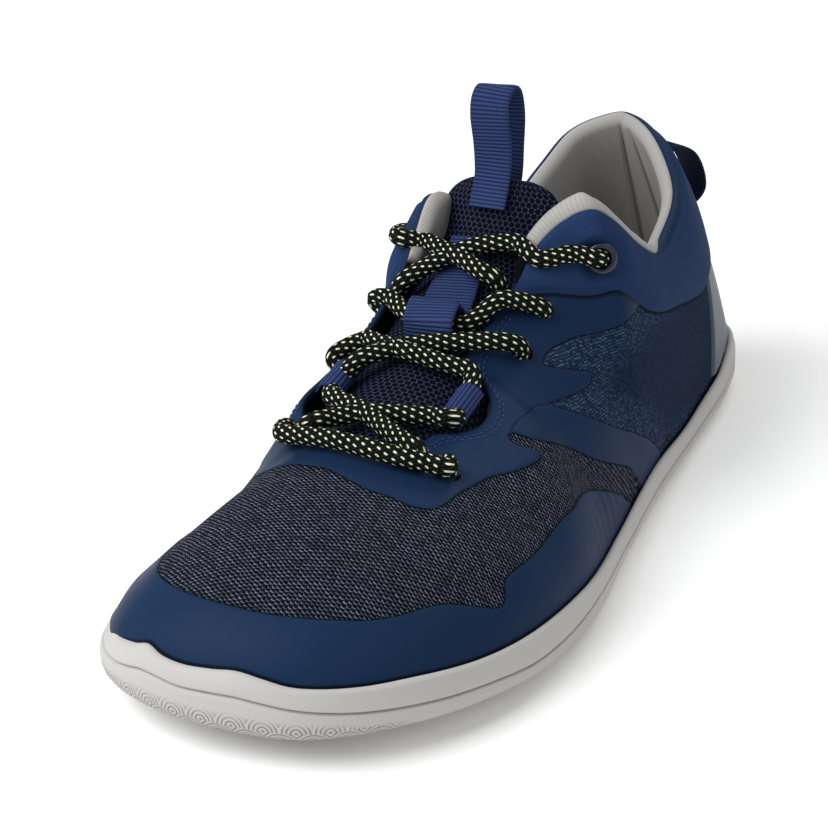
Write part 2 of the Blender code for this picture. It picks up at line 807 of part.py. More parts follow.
def build_eyelet(name, station, share, material):
    """Build one top eyelet, a rounded ring on the upper's outer face."""
    bm = bmesh.new()
    axis = upper_normal(station, share)
    centre = upper_point(station, share, EYELET_SEAT)
    bore, rim = EYELET_BORE / 2, EYELET_DIAMETER / 2
    section = [
        (bore, 0.0), (rim, 0.0), (rim, EYELET_THICKNESS * 0.5),
        (rim - EYELET_THICKNESS * 0.5, EYELET_THICKNESS),
        (bore + EYELET_THICKNESS * 0.4, EYELET_THICKNESS),
        (bore, EYELET_THICKNESS * 0.6),
    ]
    turn = axis.to_track_quat("Z", "Y")
    points = [centre + turn @ Vector((radius, 0, height)) for radius, height in section]
    loop = make_ring(bm, points)
    edges = [bm.edges.new((a, b)) for a, b in zip(loop, loop[1:] + loop[:1])]
    bmesh.ops.spin(
        bm, geom=loop + edges, cent=centre, axis=axis, angle=math.tau, steps=24, use_merge=True,
    )
    bmesh.ops.remove_doubles(bm, verts=bm.verts, dist=1e-6)
    return finish_mesh(bm, name, material)


# The lace's strands, as points of their middle line, chosen by hand.
# place: in rows of TONGUE; ball: across, as a share of half of BALL_WIDTH; lift: over the
# tongue, in lace diameters.
LACE_COLUMNS = ("place", "ball", "lift")
LACE_STRANDS = {
    "front": (
        (0.79, -0.489, 1.89), (0.69, -0.362, 1.78), (0.63, -0.174, 1.76), (0.60, 0.000, 1.95),
        (0.62, 0.163, 2.37), (0.72, 0.308, 2.89), (0.79, 0.398, 3.28),
    ),
    "low_left": (
        (0.96, 0.217, 2.31), (1.17, 0.069, 1.73), (1.61, -0.176, 1.20), (1.83, -0.358, 1.18),
        (1.92, -0.427, 1.20),
    ),
    "low_right": (
        (1.92, 0.235, 1.65), (1.92, 0.145, 1.19), (1.82, 0.047, 1.06), (1.72, -0.058, 1.06),
        (1.60, -0.168, 1.17), (1.40, -0.295, 1.30), (1.12, -0.375, 1.68),
    ),
    "mid_left": (
        (2.87, 0.157, 1.49), (2.86, 0.042, 1.22), (2.87, -0.090, 1.06), (2.91, -0.217, 1.10),
        (3.02, -0.387, 1.28), (3.11, -0.489, 1.45),
    ),
    "mid_right": (
        (2.65, -0.416, 1.44), (2.78, -0.351, 1.29), (2.96, -0.244, 1.09), (3.13, -0.109, 1.03),
        (3.22, 0.000, 1.32), (3.36, 0.119, 1.88), (3.50, 0.235, 2.65),
    ),
    "keeper": (
        (3.91, -0.507, 1.36), (3.76, -0.416, 0.94), (3.62, -0.308, 0.71), (3.59, -0.181, 0.63),
        (3.63, -0.036, 0.95), (3.84, 0.040, 1.51), (4.12, 0.109, 2.17),
    ),
    "top_left": (
        (4.21, -0.471, 1.36), (4.46, -0.376, 1.18), (4.68, -0.275, 1.11), (4.92, -0.161, 1.07),
        (5.06, -0.052, 1.06), (5.13, 0.054, 1.29),
    ),
    "top_right": (
        (4.93, -0.472, 1.67), (4.78, -0.337, 1.24), (4.64, -0.217, 1.18), (4.47, -0.076, 1.33),
        (4.42, 0.009, 1.57),
    ),
}

LACE_PIECES = (
    ("lace_bar_front", ("front",)),
    ("lace_cross_low", ("low_left", "low_right")),
    ("lace_cross_mid", ("mid_left", "mid_right")),
    ("lace_bar_keeper", ("keeper",)),
    ("lace_cross_top", ("top_left", "top_right")),
)


def lace_point(place, ball, lift):
    """Return a point of the lace over the tongue."""
    across = ball * BALL_WIDTH / 2 - tongue_line(place).x
    return tongue_point(place, across, lift * LACE_DIAMETER)


def lace_tube(name, strand, material):
    """Build one strand as a closed tube along a smooth curve through its points."""
    bm = bmesh.new()
    controls = [lace_point(*row) for row in LACE_STRANDS[strand]]
    path = smooth_path(controls, 2)
    rings = []
    for index, point in enumerate(path):
        run = path[min(index + 1, len(path) - 1)] - path[max(index - 1, 0)]
        side = run.cross(Vector((0, 0, 1))).normalized()
        up = side.cross(run).normalized()
        turns = [math.tau * i / CORD_SIDES for i in range(CORD_SIDES)]
        radius = LACE_DIAMETER / 2
        ring = [point + (side * math.cos(a) + up * math.sin(a)) * radius for a in turns]
        rings.append(make_ring(bm, ring))
    skin(bm, rings)
    bm.faces.new(rings[0])
    bm.faces.new(rings[-1])
    return finish_mesh(bm, name, material)


def build_lace(material):
    """Build the lace's bars and crossings, the strands of a crossing joined."""
    for name, strands in LACE_PIECES:
        piece = lace_tube(name, strands[0], material)
        for index, strand in enumerate(strands[1:]):
            other = lace_tube(f"{name}_tool_{index}", strand, material)
            other.hide_render = True
            other.display_type = "WIRE"
            union = piece.modifiers.new("Union", "BOOLEAN")
            union.operation = "UNION"
            union.object = other


def main():
    """Build every piece of the shoe."""
    for obj in list(bpy.data.objects):
        bpy.data.objects.remove(obj, do_unlink=True)
    navy = make_material("upper_fabric", (0.030, 0.052, 0.105), 0.75)
    rubber = make_material("sole_rubber", (0.52, 0.52, 0.53), 0.60)
    foam = make_material("insole_foam", (0.20, 0.20, 0.20), 0.90)
    shell = make_material("counter_shell", (0.045, 0.055, 0.080), 0.35)
    mesh = make_material("tongue_mesh", (0.022, 0.028, 0.055), 0.85)
    webbing = make_material("webbing", (0.035, 0.055, 0.140), 0.70)
    cord = make_material("lace_cord", (0.010, 0.010, 0.012), 0.80)
    plastic = make_material("eyelet_plastic", (0.015, 0.020, 0.040), 0.30)
    build_sole(rubber)
    build_upper(navy)
    build_insole(foam)
    build_counter(shell)
    build_tongue(mesh)
    build_strap(webbing)
    build_pull_loop(webbing)
    build_heel_loop(webbing)
    for name, place, ball, side in LACE_LOOPS:
        build_lace_loop(name, place, ball, side, webbing)
    for name, station, share in EYELETS:
        build_eyelet(name, station, share, plastic)
    build_lace(cord)


if __name__ == "__main__":
    main()
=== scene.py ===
"""Looks of a left barefoot trainer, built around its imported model.

Frame: +Z up, metres, toe towards -Y, the wearer's outer side towards +X.
"""

import json
import logging
import math
from dataclasses import dataclass, field
from enum import Enum
from functools import lru_cache
from typing import Callable, Sequence

import bmesh
import bpy
import numpy as np
from mathutils import Matrix, Vector

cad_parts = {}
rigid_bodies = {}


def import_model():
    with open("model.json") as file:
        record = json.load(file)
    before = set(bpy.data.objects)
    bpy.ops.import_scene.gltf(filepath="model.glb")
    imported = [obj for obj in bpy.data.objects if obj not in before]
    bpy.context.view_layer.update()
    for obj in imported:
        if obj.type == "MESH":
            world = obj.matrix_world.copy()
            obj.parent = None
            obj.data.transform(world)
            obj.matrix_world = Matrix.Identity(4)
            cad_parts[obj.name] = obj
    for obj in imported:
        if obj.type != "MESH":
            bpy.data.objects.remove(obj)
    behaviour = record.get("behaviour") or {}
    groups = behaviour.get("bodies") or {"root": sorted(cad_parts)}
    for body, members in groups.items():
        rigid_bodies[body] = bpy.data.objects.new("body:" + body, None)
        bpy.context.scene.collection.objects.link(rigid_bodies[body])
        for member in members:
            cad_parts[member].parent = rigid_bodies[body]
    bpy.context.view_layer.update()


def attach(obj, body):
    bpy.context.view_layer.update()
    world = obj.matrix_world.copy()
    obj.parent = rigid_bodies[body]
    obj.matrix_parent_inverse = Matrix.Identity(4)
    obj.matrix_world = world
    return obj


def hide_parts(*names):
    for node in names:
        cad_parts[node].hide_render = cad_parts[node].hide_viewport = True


LOG = logging.getLogger("trainer")
BODY = "root"
MM = 0.001
WEBBING_RIB = 0.00110

Pair = tuple[float, float]
Place = Callable[[float, float], Vector]
Chart = Callable[[float, float], Pair]
Knot = float | Vector
BMesh = bmesh.types.BMesh
Socket = bpy.types.NodeSocket
Signal = Socket | float | tuple
Colour = tuple[float, float, float]


class Slot(Enum):
    """Material slots of the record."""

    RUBBER = "sole_rubber"
    UPPER = "upper_fabric"
    FOAM = "insole_foam"
    SHELL = "counter_shell"
    TONGUE = "tongue_mesh"
    WEBBING = "webbing"
    LACE = "lace_cord"
    EYELET = "eyelet_plastic"


def catmull_rom(before: Knot, start: Knot, end: Knot, after: Knot, share: float) -> Knot:
    """Return the value at a share of the way from start to end on a smooth curve."""
    return 0.5 * (
        2 * start
        + (end - before) * share
        + (2 * before - 5 * start + 4 * end - after) * share**2
        + (3 * start - before - 3 * end + after) * share**3
    )


def smooth_step(low: float, high: float, value: float) -> float:
    """Return 0 below low, 1 above high, and a soft ramp between."""
    share = clamp((value - low) / (high - low))
    return share * share * (3 - 2 * share)


def hump(centre: float, width: float, value: float) -> float:
    """Return a soft bump, 1 at the centre and 0 beyond the width."""
    return 1 - smooth_step(0.0, width, abs(value - centre))


def edge_round(distance: float, radius: float) -> float:
    """Return 0 at an edge and 1 from a radius inwards, on a quarter circle between."""
    return math.sqrt(max(1 - (1 - min(distance / radius, 1.0)) ** 2, 0.0))


def soft_square(turn: float, flat: float, tall: float) -> Pair:
    """Return a point on a rounded square of half width 1, squarer with smaller powers."""
    c, s = math.cos(turn * math.tau), math.sin(turn * math.tau)
    return math.copysign(abs(c) ** flat, c), math.copysign(abs(s) ** tall, s)


def run_lengths(points: Sequence[Vector]) -> list[float]:
    """Return the length along a line of points, at each of them."""
    lengths = [0.0]
    for first, second in zip(points, points[1:]):
        lengths.append(lengths[-1] + (second - first).length)
    return lengths


def clamp(value: float) -> float:
    """Return a value held between 0 and 1."""
    return min(max(value, 0.0), 1.0)


class Table:
    """Rows of numbers with named columns."""

    def __init__(self, columns: str, rows: Sequence[Sequence[float]]) -> None:
        """Keep the rows by column.

        Args:
            columns: The columns' names, with spaces between.
            rows: The numbers, a tuple for each row.
        """
        self.rows = rows
        self.columns = {name: [row[i] for row in rows] for i, name in enumerate(columns.split())}

    def at(self, name: str, place: float) -> float:
        """Return a smooth value of one column at a place counted in rows."""
        values = self.columns[name]
        last = len(values) - 1
        index = min(max(int(place), 0), last - 1)
        before = values[index - 1] if index else 2 * values[0] - values[1]
        after = values[index + 2] if index + 2 <= last else 2 * values[last] - values[last - 1]
        return catmull_rom(before, values[index], values[index + 1], after, place - index)

    def along(self, key: str, name: str, value: float, period: float = 0.0) -> float:
        """Return a smooth value of one column where another, rising one has a value.

        Args:
            key: The rising column.
            name: The column to read.
            value: Where to read it, in the rising column's terms.
            period: The turn after which the rows repeat, or 0 for an open table.

        Returns:
            The value between the rows.
        """
        places, values = self.columns[key], self.columns[name]
        count = len(places)
        if period:
            value = places[0] + (value - places[0]) % period
        else:
            value = min(max(value, places[0]), places[-1])
        index = max(i for i in range(count) if places[i] <= value)
        if not period:
            index = min(index, count - 2)

        def knot(i: int) -> Pair:
            """Return a row's place and value, round the turn if there is one."""
            if not period:
                i = min(max(i, 0), count - 1)
            turn, row = divmod(i, count)
            return places[row] + turn * period, values[row]

        (x0, y0), (x1, y1), (x2, y2), (x3, y3) = (knot(index + step) for step in (-1, 0, 1, 2))
        width = x2 - x1
        share = (value - x1) / width
        slope_in = (y2 - y0) / (x2 - x0) * width
        slope_out = (y3 - y1) / (x3 - x1) * width
        return (
            (2 * share**3 - 3 * share**2 + 1) * y1
            + (share**3 - 2 * share**2 + share) * slope_in
            + (3 * share**2 - 2 * share**3) * y2
            + (share**3 - share**2) * slope_out
        )


OUTLINE = Table("along ball heel", (
    (0, 0, -0.07), (0.030, 0, 0.63), (0.115, 0, 0.91), (0.250, 0.15, 0.82),
    (0.400, 0.50, 0.41), (0.530, 0.87, 0), (0.660, 1.00, 0), (0.785, 0.985, 0),
    (0.896, 0.78, 0), (0.969, 0.40, 0), (0.990, -0.17, 0), (0.963, -0.63, 0),
    (0.902, -0.90, 0), (0.815, -1.00, 0), (0.710, -0.95, 0), (0.590, -0.84, 0),
    (0.450, -0.30, -0.70), (0.300, -0.10, -0.94), (0.130, 0, -1.00), (0.030, 0, -0.73),
))

RIBS = Table("station along ball instep heel round bulge", (
    (0, 0.089, -0.14, 0, 1.005, 0.10, 0.015),
    (1.00, 0.111, 0.10, 0, 0.95, 0.12, 0.015),
    (2.00, 0.164, 0.33, 0, 0.82, 0.15, 0.015),
    (3.00, 0.246, 0.43, 0, 0.735, 0.20, 0.020),
    (3.35, 0.289, 0.455, 0.20, 0.59, 0.25, 0.020),
    (3.65, 0.336, 0.44, 0.35, 0.57, 0.30, 0.015),
    (3.95, 0.396, 0.35, 0.45, 0.66, 0.35, 0.010),
    (4.15, 0.411, 0.19, 0.60, 0.50, 0.40, 0.010),
    (4.35, 0.443, 0.10, 0.80, 0.26, 0.45, 0.010),
    (4.60, 0.475, 0.095, 1.00, 0, 0.50, 0.010),
    (5.00, 0.536, 0.08, 0.877, 0, 0.55, 0.010),
    (5.20, 0.561, 0.08, 0.830, 0, 0.58, 0.010),
    (5.40, 0.579, 0.22, 0.775, 0, 0.60, 0.010),
    (5.60, 0.600, 0.31, 0.729, 0, 0.62, 0.010),
    (5.85, 0.629, 0.335, 0.699, 0, 0.66, 0.010),
    (6.05, 0.648, 0.29, 0.693, 0, 0.69, 0.010),
    (6.30, 0.666, 0.19, 0.696, 0, 0.70, 0.012),
    (6.70, 0.682, 0.165, 0.690, 0, 0.72, 0.015),
    (7.20, 0.6945, 0.135, 0.687, 0, 0.75, 0.018),
    (8.00, 0.7035, 0.04, 0.693, 0, 0.78, 0.020),
    (9.00, 0.707, -0.07, 0.6985, 0, 0.80, 0.020),
    (10.0, 0.707, -0.18, 0.6985, 0, 0.80, 0.015),
    (11.0, 0.705, -0.26, 0.69, 0, 0.62, 0),
    (12.0, 0.700, -0.345, 0.683, 0, 0.31, -0.032),
    (12.6, 0.6945, -0.445, 0.677, 0, 0.13, -0.060),
    (13.2, 0.677, -0.545, 0.675, 0, 0.05, -0.072),
    (13.8, 0.650, -0.625, 0.696, 0, 0.09, -0.052),
    (14.4, 0.614, -0.605, 0.739, 0, 0.25, -0.018),
    (15.0, 0.579, -0.56, 0.797, 0, 0.44, 0),
    (15.5, 0.525, -0.545, 0.90, 0, 0.55, 0.008),
    (16.0, 0.475, -0.56, 1.00, 0, 0.52, 0.010),
    (16.3, 0.450, -0.56, 0.80, 0.26, 0.45, 0.010),
    (16.6, 0.425, -0.54, 0.50, 0.59, 0.40, 0.010),
    (17.0, 0.361, -0.59, 0.35, 0.62, 0.30, 0.015),
    (17.35, 0.300, -0.61, 0.20, 0.615, 0.25, 0.020),
    (17.7, 0.239, -0.59, 0, 0.75, 0.20, 0.025),
    (18.3, 0.168, -0.54, 0, 0.85, 0.15, 0.030),
    (18.7, 0.129, -0.465, 0, 0.94, 0.15, 0.025),
    (19.2, 0.104, -0.32, 0, 0.99, 0.12, 0.020),
))

TONGUE = Table("along ball instep half droop", (
    (0.775, -0.15, 0.600, 0.38, 0.14),
    (0.707, -0.15, 0.635, 0.44, 0.12),
    (0.646, -0.14, 0.715, 0.47, 0.13),
    (0.575, -0.172, 0.812, 0.365, 0.12),
    (0.504, -0.226, 0.940, 0.295, 0.10),
    (0.440, -0.172, 1.100, 0.295, 0.09),
    (0.410, -0.12, 1.375, 0.330, 0.10),
))

STATIONS = len(OUTLINE.rows)
BEYOND_EDGE = 0.1


def from_heel(station: float) -> float:
    """Return a station counted from the heel's back, below 0 on the inner side."""
    return (station + STATIONS / 2) % STATIONS - STATIONS / 2


@dataclass(frozen=True)
class Rib:
    """One section of the upper, from the feather line up to the top edge."""

    foot: Vector
    edge: Vector
    roundness: float
    swell: Vector

    def point(self, share: float) -> Vector:
        """Return the outer face at a share of the way up."""
        turn = share * math.pi / 2
        straight = (1 - self.roundness) * share
        reach = self.roundness * (1 - math.cos(turn)) + straight
        rise = self.roundness * math.sin(turn) + straight
        gap = self.edge - self.foot
        point = self.foot + Vector((gap.x * reach, gap.y * reach, gap.z * rise))
        return point + self.swell * (math.sin(math.pi * share) * (1 - share / 2))


@dataclass
class Last:
    """The shoe's form: the sole's outline, the upper's ribs and the tongue's line."""

    length: float = 0.280
    ball_width: float = 0.1105
    heel_width: float = 0.067
    instep_height: float = 0.069
    heel_height: float = 0.088
    toe_spring: float = 0.0063
    arch_rise: float = 0.0016
    stack: float = 0.0065
    heel_wall: float = 0.0122
    toe_wall: float = 0.0160
    back_rise: float = 0.0050
    lip_inset: float = 0.0008
    lip_thickness: float = 0.0021
    gap: float = 0.0003
    wall: float = 0.0020
    collar_padding: float = 0.0030

    def __post_init__(self) -> None:
        """Centre the outline and find its stretch."""
        rows = zip(*(OUTLINE.columns[name] for name in ("along", "ball", "heel")))
        self.controls = [
            Vector((ball * self.ball_width / 2 + heel * self.heel_width / 2, -along * self.length))
            for along, ball, heel in rows
        ]
        samples = [self.raw_outline(step / 20) for step in range(20 * STATIONS)]
        low = Vector((min(p.x for p in samples), min(p.y for p in samples)))
        high = Vector((max(p.x for p in samples), max(p.y for p in samples)))
        self.centre = (low + high) / 2
        self.stretch = self.length / (high.y - low.y)
        self.kept_rib = lru_cache(maxsize=None)(self.make_rib)

    def raw_outline(self, station: float) -> Vector:
        """Return the uncentred outline at a station, counted in rows of OUTLINE."""
        index = math.floor(station)
        points = [self.controls[(index + step) % STATIONS] for step in (-1, 0, 1, 2)]
        return catmull_rom(*points, station - index)

    def outline(self, station: float) -> Vector:
        """Return the centred outline at a station."""
        point = self.raw_outline(station) - self.centre
        return Vector((point.x, point.y * self.stretch))

    def outward(self, station: float) -> Vector:
        """Return the outline's unit normal in plan, pointing away from the foot."""
        run = self.outline(station + 0.02) - self.outline(station - 0.02)
        return Vector((-run.y, run.x)).normalized()

    def along_share(self, y: float) -> float:
        """Return 0 at the heel's back and 1 at the toe's tip."""
        return clamp(0.5 - y / self.length)

    def ground_rise(self, x: float, y: float) -> float:
        """Return how high the tread is above the floor: toe spring and medial arch."""
        share = self.along_share(y)
        spring = self.toe_spring * (max(share - 0.74, 0.0) / 0.26) ** 2
        waist = smooth_step(0.28, 0.42, share) * (1 - smooth_step(0.48, 0.60, share))
        return spring + self.arch_rise * waist * smooth_step(0.1, -0.3, x / self.ball_width)

    def lip_height(self, station: float) -> float:
        """Return the height of the sole's lip above its tread."""
        share = self.along_share(self.outline(station).y)
        height = self.heel_wall + (self.toe_wall - self.heel_wall) * smooth_step(0.50, 0.76, share)
        return height + self.back_rise * (1 - smooth_step(0.00, 0.16, share))

    def ring_point(self, station: float, inset: float, height: float) -> Vector:
        """Return a point inside the outline by inset, at a height above the tread."""
        edge = self.outline(station)
        plan = edge - self.outward(station) * inset
        return Vector((plan.x, plan.y, self.ground_rise(*edge) + height))

    @property
    def feather_inset(self) -> float:
        """Return how far inside the outline the upper meets the lip."""
        return self.lip_inset + self.lip_thickness + self.gap

    def rib(self, station: float) -> Rib:
        """Return the upper's rib at a station, worked out once."""
        return self.kept_rib(round(station, 5))

    def make_rib(self, station: float) -> Rib:
        """Work out the upper's rib at a station."""
        def read(name: str) -> float:
            """Return one column of the table of ribs."""
            return RIBS.along("station", name, station, STATIONS)

        normal = self.outward(station)
        swell = read("bulge") * self.heel_width
        edge = Vector((
            read("ball") * self.ball_width / 2,
            self.length / 2 - read("along") * self.length,
            read("instep") * self.instep_height + read("heel") * self.heel_height,
        ))
        foot = self.ring_point(station, self.feather_inset, self.lip_height(station))
        return Rib(foot, edge, read("round"), Vector((normal.x, normal.y, 0)) * swell)

    def upper(self, station: float, share: float, offset: float = 0.0) -> Vector:
        """Return a point over the upper's outer face."""
        point = self.rib(station).point(share)
        if offset:
            point += self.upper_normal(station, share) * offset
        return point

    def upper_normal(self, station: float, share: float) -> Vector:
        """Return the upper's unit normal, pointing out of the shoe."""
        station = round(station, 5)
        around = self.rib(station + 0.01).point(share)
        around -= self.rib(station - 0.01).point(share)
        rib = self.rib(station)
        up = rib.point(min(share + 0.01, 1.0)) - rib.point(max(share - 0.01, 0.0))
        return up.cross(around).normalized()

    def collar_share(self, station: float) -> float:
        """Return 1 along the padded collar, fading to 0 along the throat."""
        station = station % STATIONS
        return 1 - smooth_step(4.1, 4.6, station) + smooth_step(15.9, 16.3, station)

    def wall_at(self, station: float, share: float) -> float:
        """Return the upper's wall, thicker where the collar is padded."""
        padding = self.collar_padding * self.collar_share(station)
        return self.wall + padding * smooth_step(-0.35, 1.0, share)

    def even_stations(self, count: int, start: float = 0.0, end: float = STATIONS) -> list[float]:
        """Return stations spaced evenly along the outline, both ends included."""
        steps = 1200
        places = [start + (end - start) * i / steps for i in range(steps + 1)]
        lengths = run_lengths([self.outline(place) for place in places])
        targets = np.linspace(0.0, lengths[-1], count)
        return [float(value) for value in np.interp(targets, lengths, places)]

    def tongue_line(self, place: float) -> Vector:
        """Return the tongue's middle line, on its upper face."""
        return Vector((
            TONGUE.at("ball", place) * self.ball_width / 2,
            self.length / 2 - TONGUE.at("along", place) * self.length,
            TONGUE.at("instep", place) * self.instep_height,
        ))

    def tongue_normal(self, place: float) -> Vector:
        """Return the unit normal of the tongue's upper face on its middle line."""
        last = len(TONGUE.rows) - 1
        run = self.tongue_line(min(place + 0.01, last)) - self.tongue_line(max(place - 0.01, 0))
        return Vector((1, 0, 0)).cross(run).normalized()

    def tongue_half(self, place: float) -> float:
        """Return the tongue's half width at a place."""
        return TONGUE.at("half", place) * self.ball_width / 2

    def tongue(self, place: float, across: float, height: float = 0.0) -> Vector:
        """Return a point over the tongue: across in metres from its middle line."""
        droop = TONGUE.at("droop", place) * self.ball_width / 2
        drop = droop * (across / self.tongue_half(place)) ** 2
        middle = self.tongue_line(place) + Vector((across, 0, 0))
        return middle + self.tongue_normal(place) * (height - drop)


LAST = Last()


@dataclass
class Patch:
    """A grid of quads, spread over a surface by a function of two shares."""

    columns: int
    rows: int
    flipped: bool = False

    def spread(self, place: Place, chart: Chart | None = None) -> BMesh:
        """Lay the grid out.

        Args:
            place: Gives the point at a share across and a share along.
            chart: Gives the texture coordinates there, in metres.

        Returns:
            The mesh, with its shares kept in the vertex layers "across" and "along".
        """
        bm = bmesh.new()
        across = bm.verts.layers.float.new("across")
        along = bm.verts.layers.float.new("along")
        uv = bm.loops.layers.uv.new("Chart")
        bmesh.ops.create_grid(bm, x_segments=self.columns, y_segments=self.rows, size=0.5)
        for vert in bm.verts:
            vert[across] = vert.co.x + 0.5
            vert[along] = vert.co.y + 0.5
        chart = chart or (lambda u, v: (u, v))
        charted = [chart(vert[across], vert[along]) for vert in bm.verts]
        bm.verts.index_update()
        for face in bm.faces:
            for loop in face.loops:
                loop[uv].uv = charted[loop.vert.index]
        for vert in bm.verts:
            vert.co = place(vert[across], vert[along])
        bmesh.ops.remove_doubles(bm, verts=bm.verts, dist=0.000004)
        if self.flipped:
            bmesh.ops.reverse_faces(bm, faces=bm.faces)
        bm.normal_update()
        return bm


def patch_shares(bm: BMesh) -> list[Pair]:
    """Return each vertex's share across and along, in a mesh made by Patch.spread."""
    across, along = (bm.verts.layers.float[name] for name in ("across", "along"))
    return [(vert[across], vert[along]) for vert in bm.verts]


def press(bm: BMesh, height: Callable[[float, float], float]) -> None:
    """Move each vertex along its normal.

    Args:
        bm: A mesh made by Patch.spread.
        height: Gives the move at a share across and a share along, in metres.
    """
    moves = [height(*shares) for shares in patch_shares(bm)]
    for vert, move in zip(bm.verts, moves):
        vert.co += vert.normal * move
    bm.normal_update()


def close_shell(bm: BMesh) -> None:
    """Fill a mesh's open ends and turn its faces outwards."""
    bmesh.ops.holes_fill(bm, edges=[edge for edge in bm.edges if edge.is_boundary])
    bmesh.ops.recalc_face_normals(bm, faces=bm.faces)
    if bm.calc_volume(signed=True) < 0:
        bmesh.ops.reverse_faces(bm, faces=bm.faces)


def to_mesh(name: str, bm: BMesh) -> bpy.types.Mesh:
    """Return a named mesh made from a bmesh, which is used up."""
    mesh = bpy.data.meshes.new(name)
    bm.to_mesh(mesh)
    bm.free()
    return mesh


def join(bm: BMesh, other: BMesh) -> None:
    """Add to a bmesh another one, which is used up."""
    mesh = to_mesh("joined", other)
    bm.from_mesh(mesh)
    bpy.data.meshes.remove(mesh)


def add_object(name: str, data: bpy.types.ID) -> bpy.types.Object:
    """Put a named object in the scene."""
    obj = bpy.data.objects.new(name, data)
    bpy.context.scene.collection.objects.link(obj)
    return obj


@dataclass(frozen=True)
class Stop:
    """A place on a route, with its directions."""

    point: Vector
    run: Vector
    across: Vector
    up: Vector


class Route:
    """A smooth curve through chosen points, measured along its length."""

    def __init__(
        self, controls: Sequence[Vector], across: Sequence[Vector] | None = None, steps: int = 12
    ) -> None:
        """Sample the curve.

        Args:
            controls: The points that it passes through.
            across: The sideways direction at each point, or None to carry one along.
            steps: Samples for each span.
        """
        points: list[Vector] = []
        sides: list[Vector] = []
        last = len(controls) - 1
        for index in range(last):
            before = controls[index - 1] if index else controls[0] * 2 - controls[1]
            beyond = controls[last] * 2 - controls[last - 1]
            after = controls[index + 2] if index + 2 <= last else beyond
            for step in range(steps + (index == last - 1)):
                share = step / steps
                start, end = controls[index], controls[index + 1]
                points.append(catmull_rom(before, start, end, after, share))
                if across:
                    sides.append(across[index].lerp(across[index + 1], share))
        self.points = points
        self.lengths = run_lengths(points)
        self.length = self.lengths[-1]
        self.runs = [
            (points[min(i + 1, len(points) - 1)] - points[max(i - 1, 0)]).normalized()
            for i in range(len(points))
        ]
        if not sides:
            side = self.runs[0].cross(Vector((0, 0, 1)))
            side = side if side.length > 0.05 else Vector((1, 0, 0))
            for run in self.runs:
                side = (side - run * side.dot(run)).normalized()
                sides.append(side)
        self.sides = [(s - r * s.dot(r)).normalized() for s, r in zip(sides, self.runs)]

    def at(self, share: float) -> Stop:
        """Return the stop at a share of the length."""
        target = clamp(share) * self.length
        index = int(np.searchsorted(self.lengths, target, side="right")) - 1
        index = min(index, len(self.points) - 2)
        part = (target - self.lengths[index]) / (self.lengths[index + 1] - self.lengths[index])
        run = self.runs[index].lerp(self.runs[index + 1], part).normalized()
        side = self.sides[index].lerp(self.sides[index + 1], part).normalized()
        point = self.points[index].lerp(self.points[index + 1], part)
        return Stop(point, run, side, side.cross(run).normalized())


def sweep(
    route: Route, columns: int, rows: int, section: Chart, round_ends: float = 0.0
) -> BMesh:
    """Draw a closed section along a route.

    Args:
        route: The middle line.
        columns: Faces round the section.
        rows: Faces along the route.
        section: Gives the sideways and upward offsets at a turn (0 to 1) and a share along.
        round_ends: The length over which each end closes to a point, in metres.

    Returns:
        The closed tube, charted in metres.
    """
    stops = [route.at(row / rows) for row in range(rows + 1)]
    rim = max(math.hypot(*section(turn / 8, 0.5)) for turn in range(8)) * math.tau

    def place(turn: float, share: float) -> Vector:
        """Return a point of the tube, drawn in near its ends."""
        stop = stops[round(share * rows)]
        sideways, upward = section(turn, share)
        near_end = min(share, 1 - share) * route.length
        size = edge_round(near_end, round_ends) if round_ends else 1.0
        return stop.point + (stop.across * sideways + stop.up * upward) * size

    bm = Patch(columns, rows).spread(place, lambda u, v: (u * rim, v * route.length))
    close_shell(bm)
    return bm


def round_section(radius: float) -> Chart:
    """Return a circular section."""
    return lambda turn, share: (
        radius * math.cos(turn * math.tau), radius * math.sin(turn * math.tau)
    )


def srgb(red: int, green: int, blue: int) -> Colour:
    """Return the linear colour of three display values from 0 to 255."""
    def linear(value: int) -> float:
        """Return one value made linear."""
        share = value / 255
        return share / 12.92 if share < 0.04045 else ((share + 0.055) / 1.055) ** 2.4

    return linear(red), linear(green), linear(blue)


